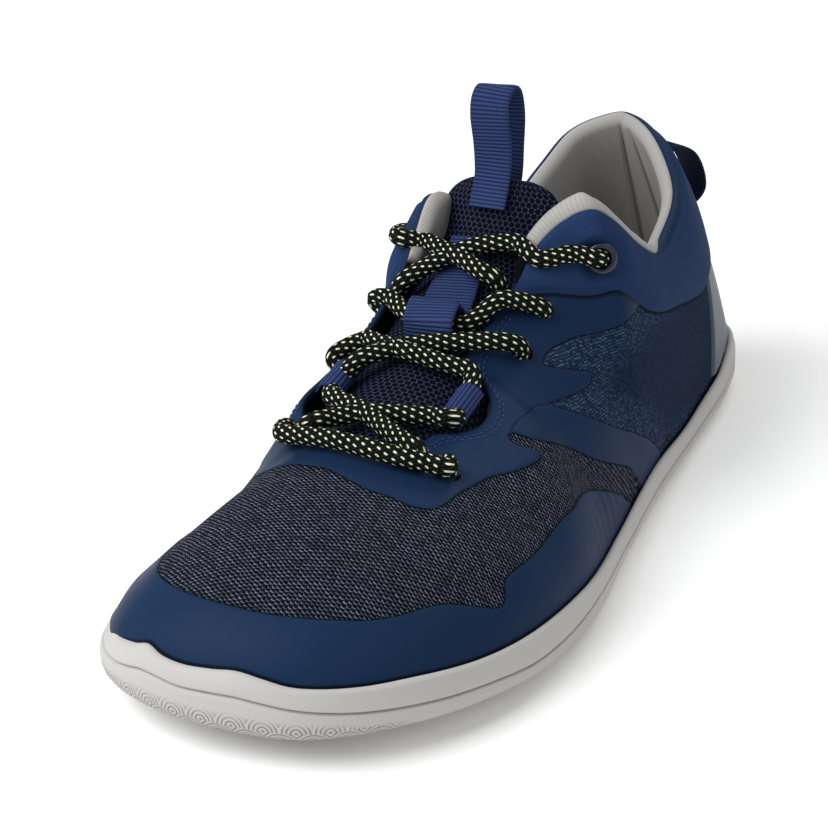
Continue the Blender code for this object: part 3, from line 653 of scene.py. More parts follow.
class Wires:
    """Adds nodes to a tree and links them."""

    def __init__(self, tree: bpy.types.NodeTree) -> None:
        """Work on one tree."""
        self.tree = tree

    def add(
        self, kind: str, inputs: dict | None = None, **settings: str | bool
    ) -> bpy.types.Node:
        """Add a node.

        Args:
            kind: The node's type, without the ShaderNode prefix.
            inputs: Sockets or values for its inputs, by name or number.
            **settings: Properties of the node.

        Returns:
            The node.
        """
        node = self.tree.nodes.new("ShaderNode" + kind)
        for name, value in settings.items():
            setattr(node, name, value)
        for name, value in (inputs or {}).items():
            self.feed(node.inputs[name], value)
        return node

    def feed(self, socket: Socket, value: Signal) -> None:
        """Link a socket to an input, or set the input's value."""
        if isinstance(value, Socket):
            self.tree.links.new(value, socket)
        elif isinstance(value, tuple) and len(value) == 3 and socket.type == "RGBA":
            socket.default_value = (*value, 1.0)
        else:
            socket.default_value = value

    def math(self, operation: str, *values: Signal) -> Socket:
        """Add a Math node and return its result."""
        return self.add("Math", dict(enumerate(values)), operation=operation).outputs[0]

    def times(self, first: Signal, second: Signal) -> Socket:
        """Return two numbers' product."""
        return self.math("MULTIPLY", first, second)

    def plus(self, first: Signal, second: Signal) -> Socket:
        """Return two numbers' sum."""
        return self.math("ADD", first, second)

    def minus(self, first: Signal, second: Signal) -> Socket:
        """Return the first number less the second."""
        return self.math("SUBTRACT", first, second)

    def over(self, first: Signal, second: Signal) -> Socket:
        """Return the first number divided by the second."""
        return self.math("DIVIDE", first, second)

    def ramp(self, value: Signal, low: Signal, high: Signal) -> Socket:
        """Return a soft step of a value from low to high."""
        inputs = {"Value": value, "From Min": low, "From Max": high}
        node = self.add("MapRange", inputs, interpolation_type="SMOOTHSTEP")
        return node.outputs[0]

    def mix(self, factor: Signal, first: Signal, second: Signal) -> Socket:
        """Return a mix of two colours."""
        node = self.add("Mix", data_type="RGBA")
        for index, value in ((0, factor), (6, first), (7, second)):
            self.feed(node.inputs[index], value)
        return node.outputs[2]

    def blend(self, factor: Signal, first: Signal, second: Signal) -> Socket:
        """Return a mix of two numbers."""
        node = self.add("Mix", {0: factor, 2: first, 3: second}, data_type="FLOAT")
        return node.outputs[0]

    def split(self, vector: Signal) -> tuple[Socket, ...]:
        """Return a vector's three parts."""
        return tuple(self.add("SeparateXYZ", {0: vector}).outputs)

    def attribute(self, name: str) -> Socket:
        """Return a mesh attribute's value."""
        return self.add("Attribute", attribute_name=name).outputs["Fac"]

    def chart(self, turn: float = 0.0) -> Socket:
        """Return the piece's own chart, in metres, turned by an angle in degrees."""
        uv = self.add("UVMap", uv_map="Chart").outputs[0]
        if not turn:
            return uv
        node = self.add("Mapping", {"Vector": uv})
        node.inputs["Rotation"].default_value = (0, 0, math.radians(turn))
        return node.outputs[0]

    def shift(self, operation: str, vector: Signal, change: Signal) -> Socket:
        """Return a vector changed by another, or scaled by a number."""
        name = "Scale" if operation == "SCALE" else 1
        return self.add("VectorMath", {0: vector, name: change}, operation=operation).outputs[0]

    def bump(self, height: Signal, strength: float, distance: float) -> Socket:
        """Return a bumped normal."""
        inputs = {"Strength": strength, "Distance": distance, "Height": height}
        return self.add("Bump", inputs).outputs[0]

    def group(self, tree: bpy.types.NodeTree, *values: Signal) -> list[Socket]:
        """Place a node group with its own values, in its inputs' order.

        Args:
            tree: The group.
            *values: Sockets or values for its inputs.

        Returns:
            Its outputs.
        """
        node = self.tree.nodes.new("ShaderNodeGroup")
        node.node_tree = tree
        for socket, value in zip(node.inputs, values):
            self.feed(socket, value)
        return list(node.outputs)


def shader_group(name: str, inputs: dict, outputs: Sequence[str]) -> Callable:
    """Turn a function that wires a node group into one that builds the group once.

    Args:
        name: The group's name.
        inputs: Default values by input name, with None for a vector.
        outputs: Names of the outputs, all numbers, in the order that the function returns them.

    Returns:
        The decorator.
    """
    def decorate(wire: Callable) -> Callable[[], bpy.types.NodeTree]:
        """Wrap the wiring function."""
        @lru_cache(maxsize=None)
        def build() -> bpy.types.NodeTree:
            """Build the group and return its tree."""
            tree = bpy.data.node_groups.new(name, "ShaderNodeTree")
            for label, value in inputs.items():
                kind = "NodeSocketVector" if value is None else "NodeSocketFloat"
                socket = tree.interface.new_socket(label, in_out="INPUT", socket_type=kind)
                if value is not None:
                    socket.default_value = value
            for label in outputs:
                tree.interface.new_socket(label, in_out="OUTPUT", socket_type="NodeSocketFloat")
            w = Wires(tree)
            source, sink = tree.nodes.new("NodeGroupInput"), tree.nodes.new("NodeGroupOutput")
            for label, value in zip(outputs, wire(w, *list(source.outputs)[:len(inputs)])):
                w.feed(sink.inputs[label], value)
            return tree

        return build

    return decorate


@shader_group(
    "Staggered cells", {"Vector": None, "Width": 0.001, "Height": 0.001},
    ("Across", "Along", "Random"),
)
def cells(w: Wires, vector: Signal, width: Signal, height: Signal) -> tuple[Signal, ...]:
    """Return the place inside each staggered cell, and a random number for it."""
    x, y, _ = w.split(vector)
    y = w.over(y, height)
    row = w.math("FLOOR", y)
    x = w.plus(w.over(x, width), w.times(row, 0.5))
    cell = w.add("CombineXYZ", {0: w.math("FLOOR", x), 1: row}).outputs[0]
    noise = w.add("TexWhiteNoise", {"Vector": cell}, noise_dimensions="2D")
    return (
        w.minus(w.math("FRACT", x), 0.5), w.minus(w.math("FRACT", y), 0.5),
        noise.outputs["Value"],
    )


@shader_group(
    "Yarn strokes",
    {"Vector": None, "Width": 0.001, "Height": 0.001, "Slant": 0.4, "Arch": 0.8,
     "Thickness": 0.2},
    ("Stroke", "Random"),
)
def strokes(
    w: Wires, vector: Signal, width: Signal, height: Signal, slant: Signal, arch: Signal,
    thickness: Signal,
) -> tuple[Signal, ...]:
    """Return short slanted yarn strokes in staggered cells, as on an engineered mesh."""
    across, along, random = w.group(cells(), vector, width, height)
    line = w.plus(w.times(across, slant), w.times(w.times(across, across), arch))
    off = w.math("ABSOLUTE", w.minus(along, w.minus(line, 0.06)))
    body = w.math("MAXIMUM", w.minus(1.0, w.over(off, thickness)), 0.0)
    ends = w.minus(1.0, w.ramp(w.math("ABSOLUTE", across), 0.28, 0.48))
    return w.times(w.math("POWER", body, 0.7), ends), random


@shader_group(
    "Open net", {"Vector": None, "Width": 0.002, "Height": 0.002, "Yarn": 0.3},
    ("Yarn", "Random"),
)
def net(
    w: Wires, vector: Signal, width: Signal, height: Signal, yarn: Signal
) -> tuple[Signal, ...]:
    """Return an open net of rounded holes in staggered rows."""
    across, along, random = w.group(cells(), vector, width, height)
    far = w.plus(
        w.math("POWER", w.math("ABSOLUTE", w.times(across, 2.0)), 1.6),
        w.math("POWER", w.math("ABSOLUTE", w.times(along, 1.5)), 1.6),
    )
    low = w.minus(0.95, yarn)
    return w.ramp(far, low, w.plus(low, 0.3)), random


@shader_group("Rounded ribs", {"Coordinate": 0.0, "Period": 0.001, "Sharpness": 1.0}, ("Rib",))
def ribs(
    w: Wires, coordinate: Signal, period: Signal, sharpness: Signal
) -> tuple[Signal, ...]:
    """Return rounded ribs across one coordinate."""
    turn = w.times(w.over(coordinate, period), math.pi)
    return (w.math("POWER", w.math("ABSOLUTE", w.math("SINE", turn)), sharpness),)


@shader_group("Grain", {"Fine": 900.0, "Slow": 25.0}, ("Grain", "Shade"))
def grain(w: Wires, fine: Signal, slow: Signal) -> tuple[Signal, ...]:
    """Return fine grain and slow colour variation from Object coordinates."""
    place = w.add("TexCoord").outputs["Object"]
    return tuple(
        w.add("TexNoise", {"Vector": place, "Scale": scale, "Detail": detail}).outputs[0]
        for scale, detail in ((fine, 3.0), (slow, 2.0))
    )


Inputs = bpy.types.bpy_prop_collection


@dataclass(frozen=True)
class Finish:
    """A surface's finish: plain values set on the shader, and a pattern painted by nodes."""

    name: str
    colour: Colour
    roughness: float = 0.7
    coat: float = 0.0
    specular: float = 0.4

    def make(self) -> bpy.types.Material:
        """Return the material, made once."""
        found = bpy.data.materials.get(self.name)
        if found:
            return found
        material = bpy.data.materials.new(self.name)
        material.use_nodes = True
        shader = material.node_tree.nodes["Principled BSDF"].inputs
        values = {
            "Base Color": (*self.colour, 1.0), "Roughness": self.roughness,
            "Coat Weight": self.coat, "Coat Roughness": 0.3, "Specular IOR Level": self.specular,
        }
        for name, value in values.items():
            shader[name].default_value = value
        self.paint(Wires(material.node_tree), shader)
        return material

    def darker(self, share: float) -> Colour:
        """Return a share of the finish's colour."""
        return tuple(value * share for value in self.colour)

    def paint(self, w: Wires, shader: Inputs) -> None:
        """Add grain and slow colour variation.

        Args:
            w: The material's wires.
            shader: The shader's inputs.
        """
        fine, slow = w.group(grain())
        w.feed(shader["Base Color"], w.mix(slow, self.darker(0.82), self.colour))
        w.feed(shader["Normal"], w.bump(fine, 0.25, 0.0002))


@dataclass(frozen=True)
class PlainFinish(Finish):
    """An even surface."""

    def paint(self, w: Wires, shader: Inputs) -> None:
        """Leave the shader as it is."""


@dataclass(frozen=True)
class RubberFinish(Finish):
    """Matt moulded rubber with a fine bloom, and rings where the tread climbs the toe, their
    grooves darkened with painted shade.
    """

    cell_width: float = 0.0080
    cell_height: float = 0.0038
    ring_pitch: float = 0.00105
    bloom: float = 0.06
    # Colour of the painted shade in the tread's ring grooves.
    cut: Colour = srgb(110, 109, 107)

    def paint(self, w: Wires, shader: Inputs) -> None:
        """Paint slow shade, fine grain, a slightly uneven gloss and the tread's rings, with painted
        shade in their grooves.
        """
        fine, slow = w.group(grain(), 1600.0, 14.0)
        across, along, _ = w.group(cells(), w.chart(), self.cell_width, self.cell_height)
        across = w.times(across, self.cell_width / MM)
        along = w.times(w.plus(along, 0.5), self.cell_height / MM)
        far = w.plus(w.math("POWER", across, 2.0), w.math("POWER", along, 2.0))
        rings = w.math("SINE", w.times(w.math("SQRT", far), math.tau * MM / self.ring_pitch))
        cut = w.times(w.ramp(rings, 0.0, 0.7), w.attribute("tread"))
        colour = w.mix(slow, self.darker(0.93), self.colour)
        # Painted shade: the rings' grooves are darkened towards the cut colour.
        w.feed(shader["Base Color"], w.mix(w.times(cut, 0.7), colour, self.cut))
        rough = w.blend(slow, self.roughness - self.bloom, self.roughness + self.bloom)
        w.feed(shader["Roughness"], rough)
        w.feed(shader["Normal"], w.bump(w.minus(w.times(fine, 0.2), cut), 0.7, 0.0005))


@dataclass(frozen=True)
class SkinFinish(Finish):
    """The upper's outer skin: engineered mesh, melange knit and bonded film."""

    mesh_ground: Colour = srgb(7, 9, 20)
    mesh_yarn: Colour = srgb(136, 138, 164)
    knit_ground: Colour = srgb(19, 35, 56)
    knit_yarn: Colour = srgb(88, 108, 142)
    teal: Colour = srgb(112, 142, 152)
    # Colour of the painted shade along the film's edges, under the collar and above the sole's lip.
    painted_edge_shade: Colour = srgb(4, 8, 18)
    mesh_slant: float = 28.0
    looseness: float = 0.0011

    def mesh_cloth(
        self, w: Wires, loose: Signal, mesh: Signal
    ) -> tuple[Socket, Socket]:
        """Return the mesh's colour and height, its yarn teal beside the film."""
        chart = w.shift("ADD", w.chart(self.mesh_slant), loose)
        stroke, random = w.group(strokes(), chart, 0.00150, 0.00096, 0.35, 1.3, 0.23)
        lit = w.times(stroke, w.blend(random, 0.35, 1.0))
        yarn = w.mix(w.ramp(mesh, 1.6, 0.4), self.mesh_yarn, self.teal)
        return w.mix(lit, self.mesh_ground, yarn), stroke

    def knit_cloth(
        self, w: Wires, loose: Signal, knit: Signal
    ) -> tuple[Socket, Socket]:
        """Return the knit's colour and height, its beads brightest near the film."""
        _, _, z = w.split(w.add("TexCoord").outputs["Object"])
        side = w.add("CombineXYZ", {0: w.attribute("around"), 1: z}).outputs[0]
        side = w.shift("ADD", side, loose)
        stroke, random = w.group(strokes(), side, 0.00105, 0.00078, 0.25, 0.6, 0.40)
        bead = w.times(stroke, w.math("POWER", w.blend(random, 0.1, 1.0), 1.6))
        near_edge = w.minus(1.0, w.ramp(knit, 2.0, 15.0))
        bead = w.times(bead, w.blend(near_edge, 0.16, 0.95))
        return w.mix(bead, self.knit_ground, self.knit_yarn), bead

    def edge_shade(self, w: Wires, cloth: Signal) -> Socket:
        """Return painted shade along the film's and the strap's edges, under the collar's seam and
        above the sole's lip.
        """
        shade = w.times(w.ramp(cloth, -0.12, 0.02), w.ramp(cloth, 0.75, 0.15))
        line = w.ramp(w.math("ABSOLUTE", w.attribute("strap")), 0.45, 0.1)
        line = w.times(line, w.ramp(cloth, -0.2, -0.8))
        seam = w.attribute("padded")
        seam = w.times(w.ramp(seam, -1.7, -0.2), w.ramp(seam, 1.2, 0.6))
        shade = w.math("MAXIMUM", w.math("MAXIMUM", shade, line), seam)
        return w.math("MAXIMUM", shade, w.ramp(w.attribute("feather"), 0.4, 0.0))

    def paint(self, w: Wires, shader: Inputs) -> None:
        """Paint the three cloths by the skin's own distance attributes, with painted shade along
        their edges.
        """
        mesh, knit = w.attribute("mesh"), w.attribute("knit")
        wobble = w.add("TexNoise", {"Vector": w.chart(), "Scale": 260.0, "Detail": 1.0})
        loose = w.shift("SUBTRACT", wobble.outputs["Color"], (0.5, 0.5, 0.5))
        loose = w.shift("SCALE", loose, self.looseness)
        mesh_colour, stroke = self.mesh_cloth(w, loose, mesh)
        knit_colour, bead = self.knit_cloth(w, loose, knit)
        fine, slow = w.group(grain(), 1500.0, 22.0)
        in_mesh, in_knit = w.ramp(mesh, -0.06, 0.06), w.ramp(knit, -0.06, 0.06)
        colour = w.mix(slow, self.darker(0.80), self.colour)
        colour = w.mix(in_mesh, colour, mesh_colour)
        colour = w.mix(in_knit, colour, knit_colour)
        shade = self.edge_shade(w, w.math("MAXIMUM", mesh, knit))
        # Painted shade: the edge mask darkens the colour along the film's edges, the collar's seam
        # and the lip.
        w.feed(shader["Base Color"], w.mix(w.times(shade, 0.8), colour, self.painted_edge_shade))
        fabric = w.math("MAXIMUM", in_mesh, in_knit)
        w.feed(shader["Roughness"], w.blend(fabric, self.roughness, 0.85))
        raised = w.plus(w.times(in_mesh, stroke), w.times(in_knit, bead))
        w.feed(shader["Normal"], w.bump(w.plus(raised, w.times(fine, 0.10)), 0.7, 0.0004))


@dataclass(frozen=True)
class TwillFinish(Finish):
    """Smooth padded cloth with a fine slanted twill."""

    slant: float = 40.0
    period: float = 0.00085
    depth: float = 0.55
    groove: Colour = srgb(20, 33, 56)

    def paint(self, w: Wires, shader: Inputs) -> None:
        """Paint the twill's slanted ribs."""
        x, _, _ = w.split(w.chart(self.slant))
        fine, slow = w.group(grain(), 1800.0, 40.0)
        rib = w.times(w.group(ribs(), x, self.period, 0.8)[0], w.blend(slow, 0.6, 1.0))
        fade = w.plus(1 - self.depth, w.times(rib, self.depth))
        w.feed(shader["Base Color"], w.mix(fade, self.groove, self.colour))
        w.feed(shader["Normal"], w.bump(w.plus(rib, w.times(fine, 0.3)), 0.5, 0.00016))


@dataclass(frozen=True)
class LiningFinish(Finish):
    """Light ribbed knit lining inside the collar, dark cloth inside the throat."""

    throat: Colour = srgb(9, 11, 18)
    shadow: Colour = srgb(84, 82, 80)
    valley: Colour = srgb(128, 126, 124)
    wale: float = 0.00090
    course: float = 0.00075

    def paint(self, w: Wires, shader: Inputs) -> None:
        """Paint fine ribs, lighter in the collar than in the throat."""
        x, y, _ = w.split(w.chart())
        wales, courses = w.group(ribs(), x, self.wale, 0.5), w.group(ribs(), y, self.course, 0.5)
        fine, _ = w.group(grain(), 1500.0, 30.0)
        knit = w.times(wales[0], w.blend(courses[0], 0.55, 1.0))
        light = w.mix(w.blend(knit, 0.55, 1.0), self.valley, self.colour)
        light = w.mix(w.ramp(w.attribute("groove"), 0.3, 1.3), light, self.shadow)
        collar = w.ramp(w.attribute("collar"), 0.35, 0.65)
        w.feed(shader["Base Color"], w.mix(collar, self.throat, light))
        w.feed(shader["Normal"], w.bump(w.plus(knit, w.times(fine, 0.3)), 0.35, 0.0002))


@dataclass(frozen=True)
class NetFinish(Finish):
    """Open spacer mesh over a dark ground."""

    ground: Colour = srgb(8, 9, 18)
    width: float = 0.0021
    height: float = 0.0018
    yarn: float = 0.30

    def paint(self, w: Wires, shader: Inputs) -> None:
        """Paint the net's yarns and holes."""
        yarn, random = w.group(net(), w.chart(), self.width, self.height, self.yarn)
        bright = w.times(yarn, w.blend(random, 0.7, 1.0))
        w.feed(shader["Base Color"], w.mix(bright, self.ground, self.colour))
        w.feed(shader["Normal"], w.bump(yarn, 0.9, 0.0005))


@dataclass(frozen=True)
class WebbingFinish(Finish):
    """Woven ribbed webbing."""

    valley: Colour = srgb(18, 26, 60)
    period: float = WEBBING_RIB
    warp: float = 0.00042

    def paint(self, w: Wires, shader: Inputs) -> None:
        """Paint the ribs across the webbing and its fine warp."""
        x, y, _ = w.split(w.chart())
        rib, warp = w.group(ribs(), y, self.period, 0.9)[0], w.group(ribs(), x, self.warp, 0.7)[0]
        _, slow = w.group(grain(), 1400.0, 60.0)
        lit = w.times(w.times(rib, w.blend(warp, 0.72, 1.0)), w.blend(slow, 0.8, 1.1))
        w.feed(shader["Base Color"], w.mix(lit, self.valley, self.colour))
        w.feed(shader["Normal"], w.bump(w.plus(rib, w.times(warp, 0.2)), 0.6, 0.00035))


@dataclass(frozen=True)
class CordFinish(Finish):
    """Braided round cord with pale flecks in slanting rows."""

    fleck: Colour = srgb(238, 240, 206)
    rim: Colour = srgb(52, 68, 36)
    strand: Colour = srgb(50, 56, 54)
    fleck_width: float = 0.00196
    fleck_height: float = 0.00215

    def paint(self, w: Wires, shader: Inputs) -> None:
        """Paint the braid and its flecks."""
        stroke, random = w.group(strokes(), w.chart(), 0.00098, 0.00080, 0.9, 0.0, 0.36)
        across, along, _ = w.group(cells(), w.chart(), self.fleck_width, self.fleck_height)
        along = w.times(along, self.fleck_height / MM)
        slanted = w.plus(w.times(across, self.fleck_width / MM), w.times(along, 0.35))
        far = w.plus(w.math("POWER", w.over(slanted, 0.32), 2.0),
                     w.math("POWER", w.over(along, 0.56), 2.0))
        inner = w.minus(1.0, w.ramp(far, 0.62, 1.15))
        outer = w.minus(1.0, w.ramp(far, 1.0, 2.4))
        base = w.mix(w.times(stroke, w.blend(random, 0.2, 0.8)), self.colour, self.strand)
        base = w.mix(w.times(outer, 0.6), base, self.rim)
        w.feed(shader["Base Color"], w.mix(inner, base, self.fleck))
        w.feed(shader["Normal"], w.bump(w.plus(stroke, w.times(inner, 0.6)), 0.8, 0.0004))


FINISHES = {
    "rubber": RubberFinish("Light grey rubber", srgb(183, 181, 178), 0.6, specular=0.25),
    "skin": SkinFinish("Mesh knit and film", srgb(25, 45, 75), 0.45, specular=0.045),
    "padding": TwillFinish(
        "Collar twill", srgb(36, 57, 92), 0.7, specular=0.03, groove=srgb(22, 37, 66)
    ),
    "lining": LiningFinish("Collar lining", srgb(168, 166, 163), 0.9, specular=0.05),
    "net": NetFinish("Tongue mesh", srgb(56, 62, 92), 0.8, specular=0.05),
    "webbing": WebbingFinish("Ribbed webbing", srgb(54, 69, 112), 0.7, specular=0.05),
    "dark_webbing": WebbingFinish(
        "Dark webbing", srgb(30, 38, 64), 0.7, specular=0.05, valley=srgb(12, 16, 30)
    ),
    "cord": CordFinish("Speckled cord", srgb(9, 11, 11), 0.8, specular=0.05),
    "shell": Finish("Moulded heel shell", srgb(72, 84, 96), 0.42, specular=0.2),
    "ring": Finish("Dark eyelet ring", srgb(20, 28, 48), 0.28, coat=0.3),
    # Painted shade: the dark inside of the eyelets and the punched holes.
    "hole": Finish("Dark hole", srgb(4, 5, 8), 0.9, specular=0.05),
    "thread": Finish("Navy thread", srgb(48, 74, 122), 0.6, specular=0.15),
    "foam": TwillFinish(
        "Insole cloth", srgb(118, 118, 118), 0.9, specular=0.05, groove=srgb(80, 80, 82)
    ),
}


@dataclass
class Workshop:
    """Turns meshes into finished pieces that ride on the shoe."""

    made: list[str] = field(default_factory=list)

    def piece(
        self, name: str, bm: BMesh, finish: str, slot: Slot,
        replaces: Sequence[str] = (), fields: dict[str, Sequence[float]] | None = None,
    ) -> None:
        """Finish a mesh as a named piece.

        Args:
            name: The piece's name.
            bm: Its mesh, which is used up.
            finish: The name of its finish.
            slot: The record's material slot; not used.
            replaces: CAD nodes that it stands for.
            fields: Numbers for each vertex, by attribute name.
        """
        for layer in list(bm.verts.layers.float.values()):
            bm.verts.layers.float.remove(layer)
        mesh = to_mesh(name, bm)
        for label, values in (fields or {}).items():
            attribute = mesh.attributes.new(label, "FLOAT", "POINT")
            attribute.data.foreach_set("value", np.asarray(values, np.float32))
        mesh.shade_smooth()
        mesh.materials.append(FINISHES[finish].make())
        obj = add_object(name, mesh)
        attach(obj, BODY)
        if replaces:
            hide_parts(*replaces)
        self.made.append(name)
        LOG.info("%s: %d faces", name, len(mesh.polygons))


@dataclass
class Region:
    """A closed outline on the upper, drawn through places given by station and share."""

    name: str
    centre: float
    places: Sequence[Pair]
    steps: int = 5

    def __post_init__(self) -> None:
        """Smooth the outline and set it out in space."""
        count = len(self.places)
        rows = []
        for index in range(count):
            knots = [Vector(self.places[(index + step) % count]) for step in (-1, 0, 1, 2)]
            rows += [catmull_rom(*knots, step / self.steps) for step in range(self.steps)]
        self.outline = np.array([tuple(row) for row in rows])
        points = []
        for station, share in self.outline:
            point = LAST.upper(station, clamp(share))
            points.append((point.x, point.y, point.z + (share - clamp(share)) * BEYOND_EDGE))
        self.points = np.array(points)

    def distances(self, stations: np.ndarray, shares: np.ndarray, points: np.ndarray) -> np.ndarray:
        """Return each point's distance to the outline in millimetres, above 0 inside.

        Args:
            stations: The points' stations.
            shares: The points' shares.
            points: The points in space.

        Returns:
            The signed distances.
        """
        half = STATIONS / 2
        stations = (stations - self.centre + half) % STATIONS - half + self.centre
        inside = np.zeros(len(stations), bool)
        ends = np.roll(self.outline, -1, axis=0)
        for (x0, y0), (x1, y1) in zip(self.outline, ends):
            if y0 == y1:
                continue
            crosses = (y0 > shares) != (y1 > shares)
            inside ^= crosses & (stations < (x1 - x0) * (shares - y0) / (y1 - y0) + x0)
        best = np.full(len(points), 1e9)
        starts, stops = self.points, np.roll(self.points, -1, axis=0)
        for start, stop in zip(starts, stops):
            run = stop - start
            reach = np.clip((points - start) @ run / max(run @ run, 1e-12), 0, 1)
            gap = points - start - reach[:, None] * run
            best = np.minimum(best, np.einsum("ij,ij->i", gap, gap))
        return np.where(inside, 1, -1) * np.sqrt(best) / MM


MESH = Region("mesh", 10.0, (
    (11.87, 0.762), (10.90, 0.842), (10.15, 0.861), (9.59, 0.861), (9.06, 0.833), (8.58, 0.797),
    (8.14, 0.764), (7.82, 0.716), (7.52, 0.686), (7.26, 0.693), (6.96, 0.710), (6.53, 0.700),
    (6.19, 0.682), (5.92, 0.671), (5.77, 0.648), (5.68, 0.650), (5.71, 0.703), (5.81, 0.789),
    (5.80, 0.851), (5.73, 0.844), (5.64, 0.741), (5.46, 0.600), (5.19, 0.431), (4.93, 0.281),
    (4.63, 0.169), (4.42, 0.100), (4.22, -0.02), (4.30, -0.12), (4.48, -0.02), (4.71, 0.066),
    (4.92, 0.134), (5.14, 0.206), (5.49, 0.313), (5.71, 0.332), (5.98, 0.347), (6.34, 0.306),
    (6.58, 0.298), (6.87, 0.299), (6.99, 0.279), (7.04, 0.223), (7.09, 0.195), (7.18, 0.196),
    (7.29, 0.223), (7.57, 0.284), (7.82, 0.307), (8.33, 0.296), (8.88, 0.311), (9.40, 0.315),
    (9.84, 0.322), (10.32, 0.318), (10.99, 0.308), (11.60, 0.318), (12.3, 0.36), (12.9, 0.36),
    (13.5, 0.34), (14.1, 0.29), (14.7, 0.18), (15.2, 0.04), (15.5, -0.10), (15.75, -0.04),
    (15.55, 0.10), (15.2, 0.26), (14.85, 0.42), (14.6, 0.58), (14.42, 0.74), (14.34, 0.78),
    (14.3, 0.70), (14.2, 0.61), (13.8, 0.60), (13.3, 0.63), (12.8, 0.66), (12.3, 0.71),
))

KNIT = Region("knit", 0.0, (
    (3.2, 0.80), (3.60, 0.69), (3.76, 0.61), (3.89, 0.529), (4.04, 0.496), (4.26, 0.539),
    (4.51, 0.645), (4.70, 0.710), (4.83, 0.713), (4.82, 0.679), (4.67, 0.585), (4.50, 0.495),
    (4.52, 0.473), (4.63, 0.484), (4.87, 0.548), (5.06, 0.600), (4.95, 0.520), (4.75, 0.400),
    (4.46, 0.257), (4.16, 0.153), (3.80, 0.052), (3.50, -0.06), (2.0, -0.12), (0.0, -0.12),
    (-2.0, -0.12), (-3.4, -0.06), (-3.70, 0.052), (-4.00, 0.153), (-4.30, 0.257),
    (-4.60, 0.400), (-4.80, 0.520), (-4.92, 0.590), (-4.70, 0.548), (-4.45, 0.484),
    (-4.32, 0.480), (-4.42, 0.585), (-4.52, 0.70), (-4.40, 0.73), (-4.15, 0.66),
    (-3.90, 0.57), (-3.60, 0.69), (-3.2, 0.80), (-1.5, 0.80), (0.0, 0.80), (1.5, 0.80),
))

STRAP = Region("strap", 5.0, (
    (5.08, 0.607), (5.28, 0.683), (5.56, 0.826), (5.74, 0.856), (5.72, 0.80), (5.64, 0.700),
    (5.46, 0.55), (5.19, 0.38), (4.93, 0.22), (4.60, 0.09), (4.20, -0.05), (3.50, -0.05),
    (3.80, 0.052), (4.16, 0.153), (4.46, 0.257), (4.75, 0.400), (4.95, 0.520),
))

COLLAR_SEAM = Table("station share", (
    (-4.32, 0.975), (-4.12, 0.80), (-3.92, 0.66), (-3.60, 0.60), (-3.10, 0.63), (-2.67, 0.56),
    (-2.21, 0.485), (-1.80, 0.455), (0.00, 0.50), (1.60, 0.45), (2.21, 0.475), (2.67, 0.545),
    (3.24, 0.640), (3.76, 0.604), (4.00, 0.615), (4.21, 0.660), (4.42, 0.807), (4.62, 0.975),
))


EYELETS = ((4.03, 0.75), (16.55, 0.76))

PADDED = Region("padded", 0.0, (
    *COLLAR_SEAM.rows, (4.7, 1.3), (3.0, 1.3), (1.0, 1.3), (-1.0, 1.3), (-3.0, 1.3), (-4.4, 1.3),
))


